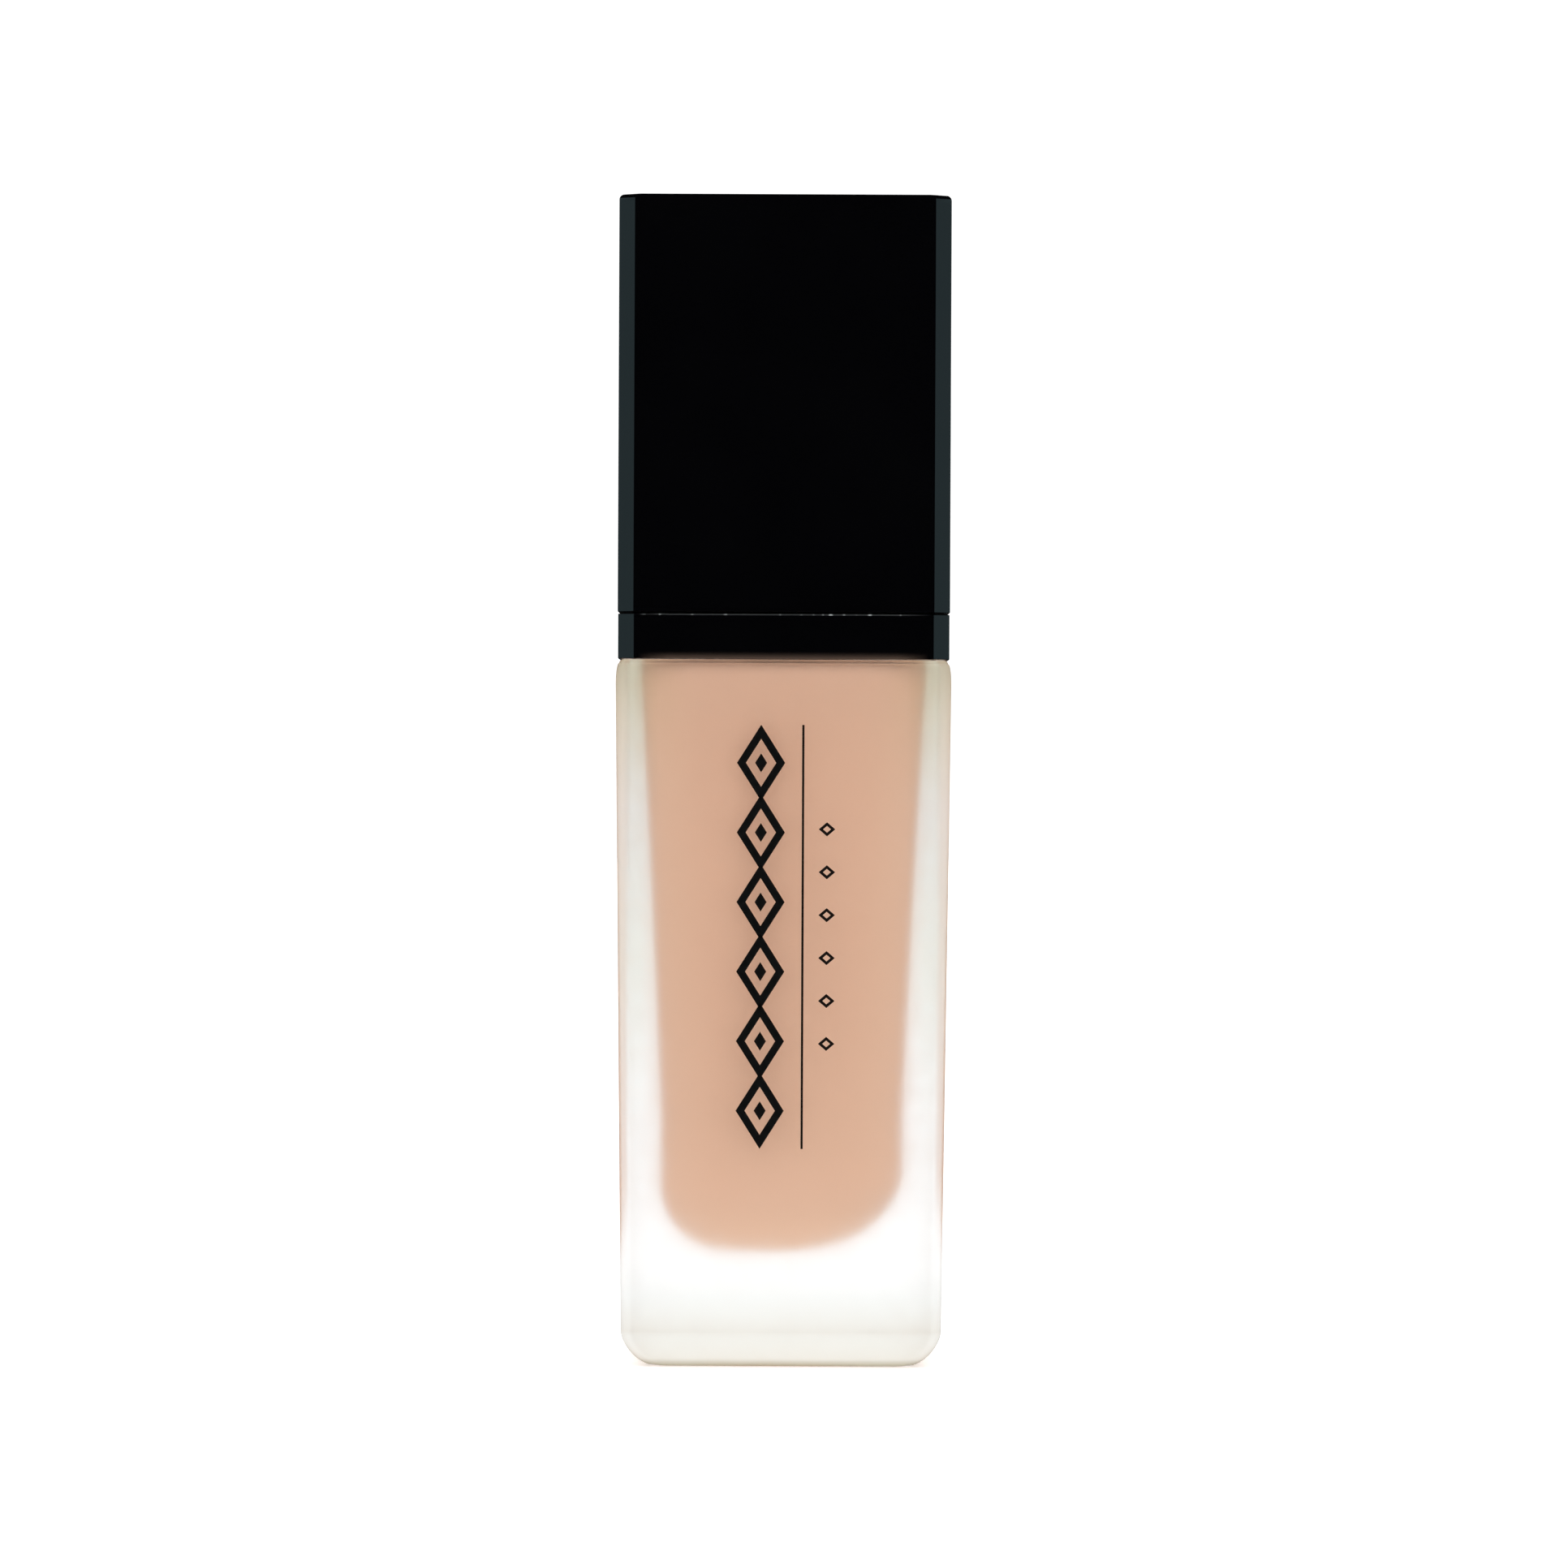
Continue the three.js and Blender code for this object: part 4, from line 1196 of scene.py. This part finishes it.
def actuator_core():
    """The inner button, which carries the flow from the stem to the nozzle."""
    top = HEAD_TOP - 1.75
    disc = top - 1
    rib_r = HEAD_R - HEAD_WALL - 0.1
    hub = 3.2
    bottom = STEM_TOP - 4.7
    made = lathe(
        "actuator_core_fine",
        [(0, bottom), (hub, bottom), (hub, disc), (rib_r, disc), (rib_r, top), (0, top)],
    )
    ribs = []
    for i in range(4):
        turn = math.pi * (0.25 + i / 2)
        ribs.append(box_mm(0.9, rib_r - 2, STEM_TOP - 3, top - 0.5, -(rib_r + 2) / 2, turn))
    arm = cross_rod(2.3, -1, -rib_r + 0.55, SPOUT_Z)
    boolean(made, ribs + [arm], "UNION")
    channels = [
        rod(STEM_R + SEAT, STEM_TOP - 6, STEM_TOP + SEAT),
        rod(0.9, STEM_TOP - 1, SPOUT_Z + 0.8, 32),
        cross_rod(0.75, 0, -4.2, SPOUT_Z, columns=32),
        cross_rod(NOZZLE_R + SEAT, -3.5, -8, SPOUT_Z),
    ]
    boolean(made, channels, "DIFFERENCE")
    soften(made, 0.06, segments=2)
    return dress(made, "pump_head", "satin_black", ["actuator_core"], SATIN)


def nozzle_insert():
    """A thin pipe with a wider mouth, which pins the core and the shell together."""
    mouth = -SPOUT_REACH + 0.1
    shoulder = mouth + 2.1
    made = cross_rod(NOZZLE_R, -3.6, shoulder - 0.5, SPOUT_Z)
    made.name = "nozzle_insert_fine"
    collar = cross_rod(1.75, shoulder, mouth, SPOUT_Z)
    boolean(made, [collar], "UNION")
    bore = cross_rod(0.6, -2, mouth - 1, SPOUT_Z, columns=32)
    boolean(made, [bore], "DIFFERENCE")
    soften(made, 0.06, segments=2)
    return dress(made, "pump_head", "satin_black", ["nozzle_insert"], SATIN)


# -------- printed ornament


LINKS = 6
LINK_SIZE = (4.8, 7.6)
LINK_OVERLAP = 0.66
LINK_STROKE = 0.75
LINK_CORE = (1.2, 1.9)
CHAIN_X = -2.2
CHAIN_LOW = 21.9
RULE_X = 2.0
RULE_WIDTH = 0.22
MARKS = 6
MARK_OUTER = (1.64, 1.4)
MARK_INNER = (0.8, 0.68)
MARK_X = 4.4
MARK_LOW = 32.4
MARK_HIGH = 53.8
INK_PROUD = 0.02
INK_SUNK = 0.005


def front_face(x, z, lift):
    """A point on the glass's tapering front, lifted off it by a little."""
    return (x, -body_half(z) - lift, z)


def lozenge(width, height):
    """A lozenge's four corners round its middle, in (x, z)."""
    return np.array([[0, -height], [width, 0], [0, height], [-width, 0]]) / 2


def ink_shapes():
    """(outer outline, inner outline or None) of each printed shape, in (x, z) on the front."""
    shapes = []
    width, height = LINK_SIZE
    inner_share = 1 - 2 * LINK_STROKE * math.hypot(1 / width, 1 / height)
    for i in range(LINKS):
        middle = np.array([CHAIN_X, CHAIN_LOW + height / 2 + i * (height - LINK_OVERLAP)])
        outer = lozenge(width, height)
        shapes.append((outer + middle, outer * inner_share + middle))
        shapes.append((lozenge(*LINK_CORE) + middle, None))
    top = CHAIN_LOW + LINKS * height - (LINKS - 1) * LINK_OVERLAP
    rule = np.array([[-1, CHAIN_LOW], [1, CHAIN_LOW], [1, top], [-1, top]]) * [RULE_WIDTH / 2, 1]
    shapes.append((rule + [RULE_X, 0], None))
    for z in np.linspace(MARK_LOW, MARK_HIGH, MARKS):
        middle = np.array([MARK_X, z])
        shapes.append((lozenge(*MARK_OUTER) + middle, lozenge(*MARK_INNER) + middle))
    return shapes


def ornament():
    """The print on the front: thin raised ink that follows the glass's taper."""
    vertices = []
    faces = []

    def add(outline, lift):
        """Adds an outline's points and gives their numbers."""
        first = len(vertices)
        vertices.extend(front_face(x, z, lift) for x, z in outline)
        return list(range(first, len(vertices)))

    def join(near, far):
        """Adds a band of faces between two outlines."""
        count = len(near)
        for i in range(count):
            j = (i + 1) % count
            faces.append([near[i], far[i], far[j], near[j]])

    for outer, inner in ink_shapes():
        face, foot = add(outer, INK_PROUD), add(outer, -INK_SUNK)
        if inner is None:
            faces.append(face)
            join(face, foot)
        else:
            hole, hole_foot = add(inner, INK_PROUD), add(inner, -INK_SUNK)
            join(hole, face)
            join(face, foot)
            join(hole_foot, hole)
    made = mesh_object("front_ornament", vertices, faces)
    made.data.shade_flat()
    made.data.materials.append(INK)
    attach(made, "bottle")


# -------- camera, light and floor

# From here on lengths are in metres.
ROOM_WHITE = 1.13
ROOM_DARK = 0.005
NEUTRAL = (1.0, 1.0, 1.0)
COOL = (0.62, 0.92, 1.0)
FLOOR_HALF = 6
FLOOR_DROP = 0.00002  # keeps the paper and the glass's foot apart
CAMERA_DISTANCE = 0.9
CAMERA_HEIGHT = 0.0583
CAMERA_ASIDE = 0.00009
CAMERA_ROLL = -0.25  # degrees
SEEN_HEIGHT = 0.1563  # what the square frame covers at the front face
SENSOR = 36


def background(tree, strength):
    """A plain white world shader."""
    node = tree.nodes.new("ShaderNodeBackground")
    node.inputs["Color"].default_value = (1, 1, 1, 1)
    node.inputs["Strength"].default_value = strength
    return node.outputs["Background"]


def studio():
    """A room that is dark to reflections in gloss, and white to everything else."""
    world = bpy.data.worlds.new("studio")
    bpy.context.scene.world = world
    world.use_nodes = True
    tree = world.node_tree
    tree.nodes.clear()
    ray = tree.nodes.new("ShaderNodeLightPath")
    mirrored = tree.nodes.new("ShaderNodeMath")
    mirrored.operation = "SUBTRACT"
    mirrored.use_clamp = True
    mix = tree.nodes.new("ShaderNodeMixShader")
    out = tree.nodes.new("ShaderNodeOutputWorld")
    tree.links.new(ray.outputs["Is Glossy Ray"], mirrored.inputs[0])
    tree.links.new(ray.outputs["Is Transmission Ray"], mirrored.inputs[1])
    tree.links.new(mirrored.outputs["Value"], mix.inputs["Fac"])
    tree.links.new(background(tree, ROOM_WHITE), mix.inputs[1])
    tree.links.new(background(tree, ROOM_DARK), mix.inputs[2])
    tree.links.new(mix.outputs["Shader"], out.inputs["Surface"])
    bpy.context.scene.view_settings.view_transform = "Standard"


def panel(name, place, size, radiance, colour):
    """A soft panel that faces the bottle's middle. Its power follows from how bright it looks."""
    light = bpy.data.lights.new(name, "AREA")
    light.shape = "RECTANGLE"
    light.size, light.size_y = size
    light.energy = radiance * math.pi * size[0] * size[1]
    light.color = colour
    lamp = placed(name, light)
    lamp.location = place
    aim = Vector((0, 0, place[2] * 0.2 + 0.05)) - Vector(place)
    lamp.rotation_euler = aim.to_track_quat("-Z", "Y").to_euler()
    lamp.visible_camera = False
    return lamp


def panels():
    """Cool panels at the sides, seen in gloss, and one at the front that gloss doesn't show."""
    for name, x in (("panel_left", -0.5), ("panel_right", 0.5)):
        side = panel(name, (x, 0.0, 0.1), (0.7, 0.6), 0.5, COOL)
        side.visible_transmission = False
    front = panel("panel_front", (0.0, -0.8, 0.35), (0.9, 0.6), 1.2, NEUTRAL)
    front.visible_glossy = False


def floor():
    """Plain white paper under the bottle, which shows neither in gloss nor through the glass."""
    corners = [(-1, -1, 0), (1, -1, 0), (1, 1, 0), (-1, 1, 0)]
    sheet = mesh_object("floor", np.array(corners) * FLOOR_HALF / MM, [[0, 1, 2, 3]])
    sheet.data.materials.append(paper_floor())
    sheet.location.z = -FLOOR_DROP
    sheet.visible_glossy = False
    sheet.visible_transmission = False


def camera():
    """A long lens, level with the bottle's middle, straight in front."""
    data = bpy.data.cameras.new("camera")
    data.sensor_width = SENSOR
    data.lens = data.sensor_width * (CAMERA_DISTANCE + cad_low.y) / SEEN_HEIGHT
    data.clip_start, data.clip_end = 0.05, 20
    made = placed("camera", data)
    made.location = (CAMERA_ASIDE, -CAMERA_DISTANCE, CAMERA_HEIGHT)
    made.rotation_euler = (math.pi / 2, math.radians(CAMERA_ROLL), 0)
    bpy.context.scene.camera = made


# -------- the scene

BUILDERS = [
    glass_bottle,
    foundation_fill,
    ornament,
    collar_shell,
    screw_closure,
    overcap_shell,
    overcap_liner,
    neck_gasket,
    pump_housing,
    housing_cap,
    pump_stem,
    valve_pin,
    piston,
    return_spring,
    inlet_ball,
    dip_tube,
    actuator_core,
    actuator_shell,
    nozzle_insert,
]
for build in BUILDERS:
    build()

studio()
panels()
floor()
camera()
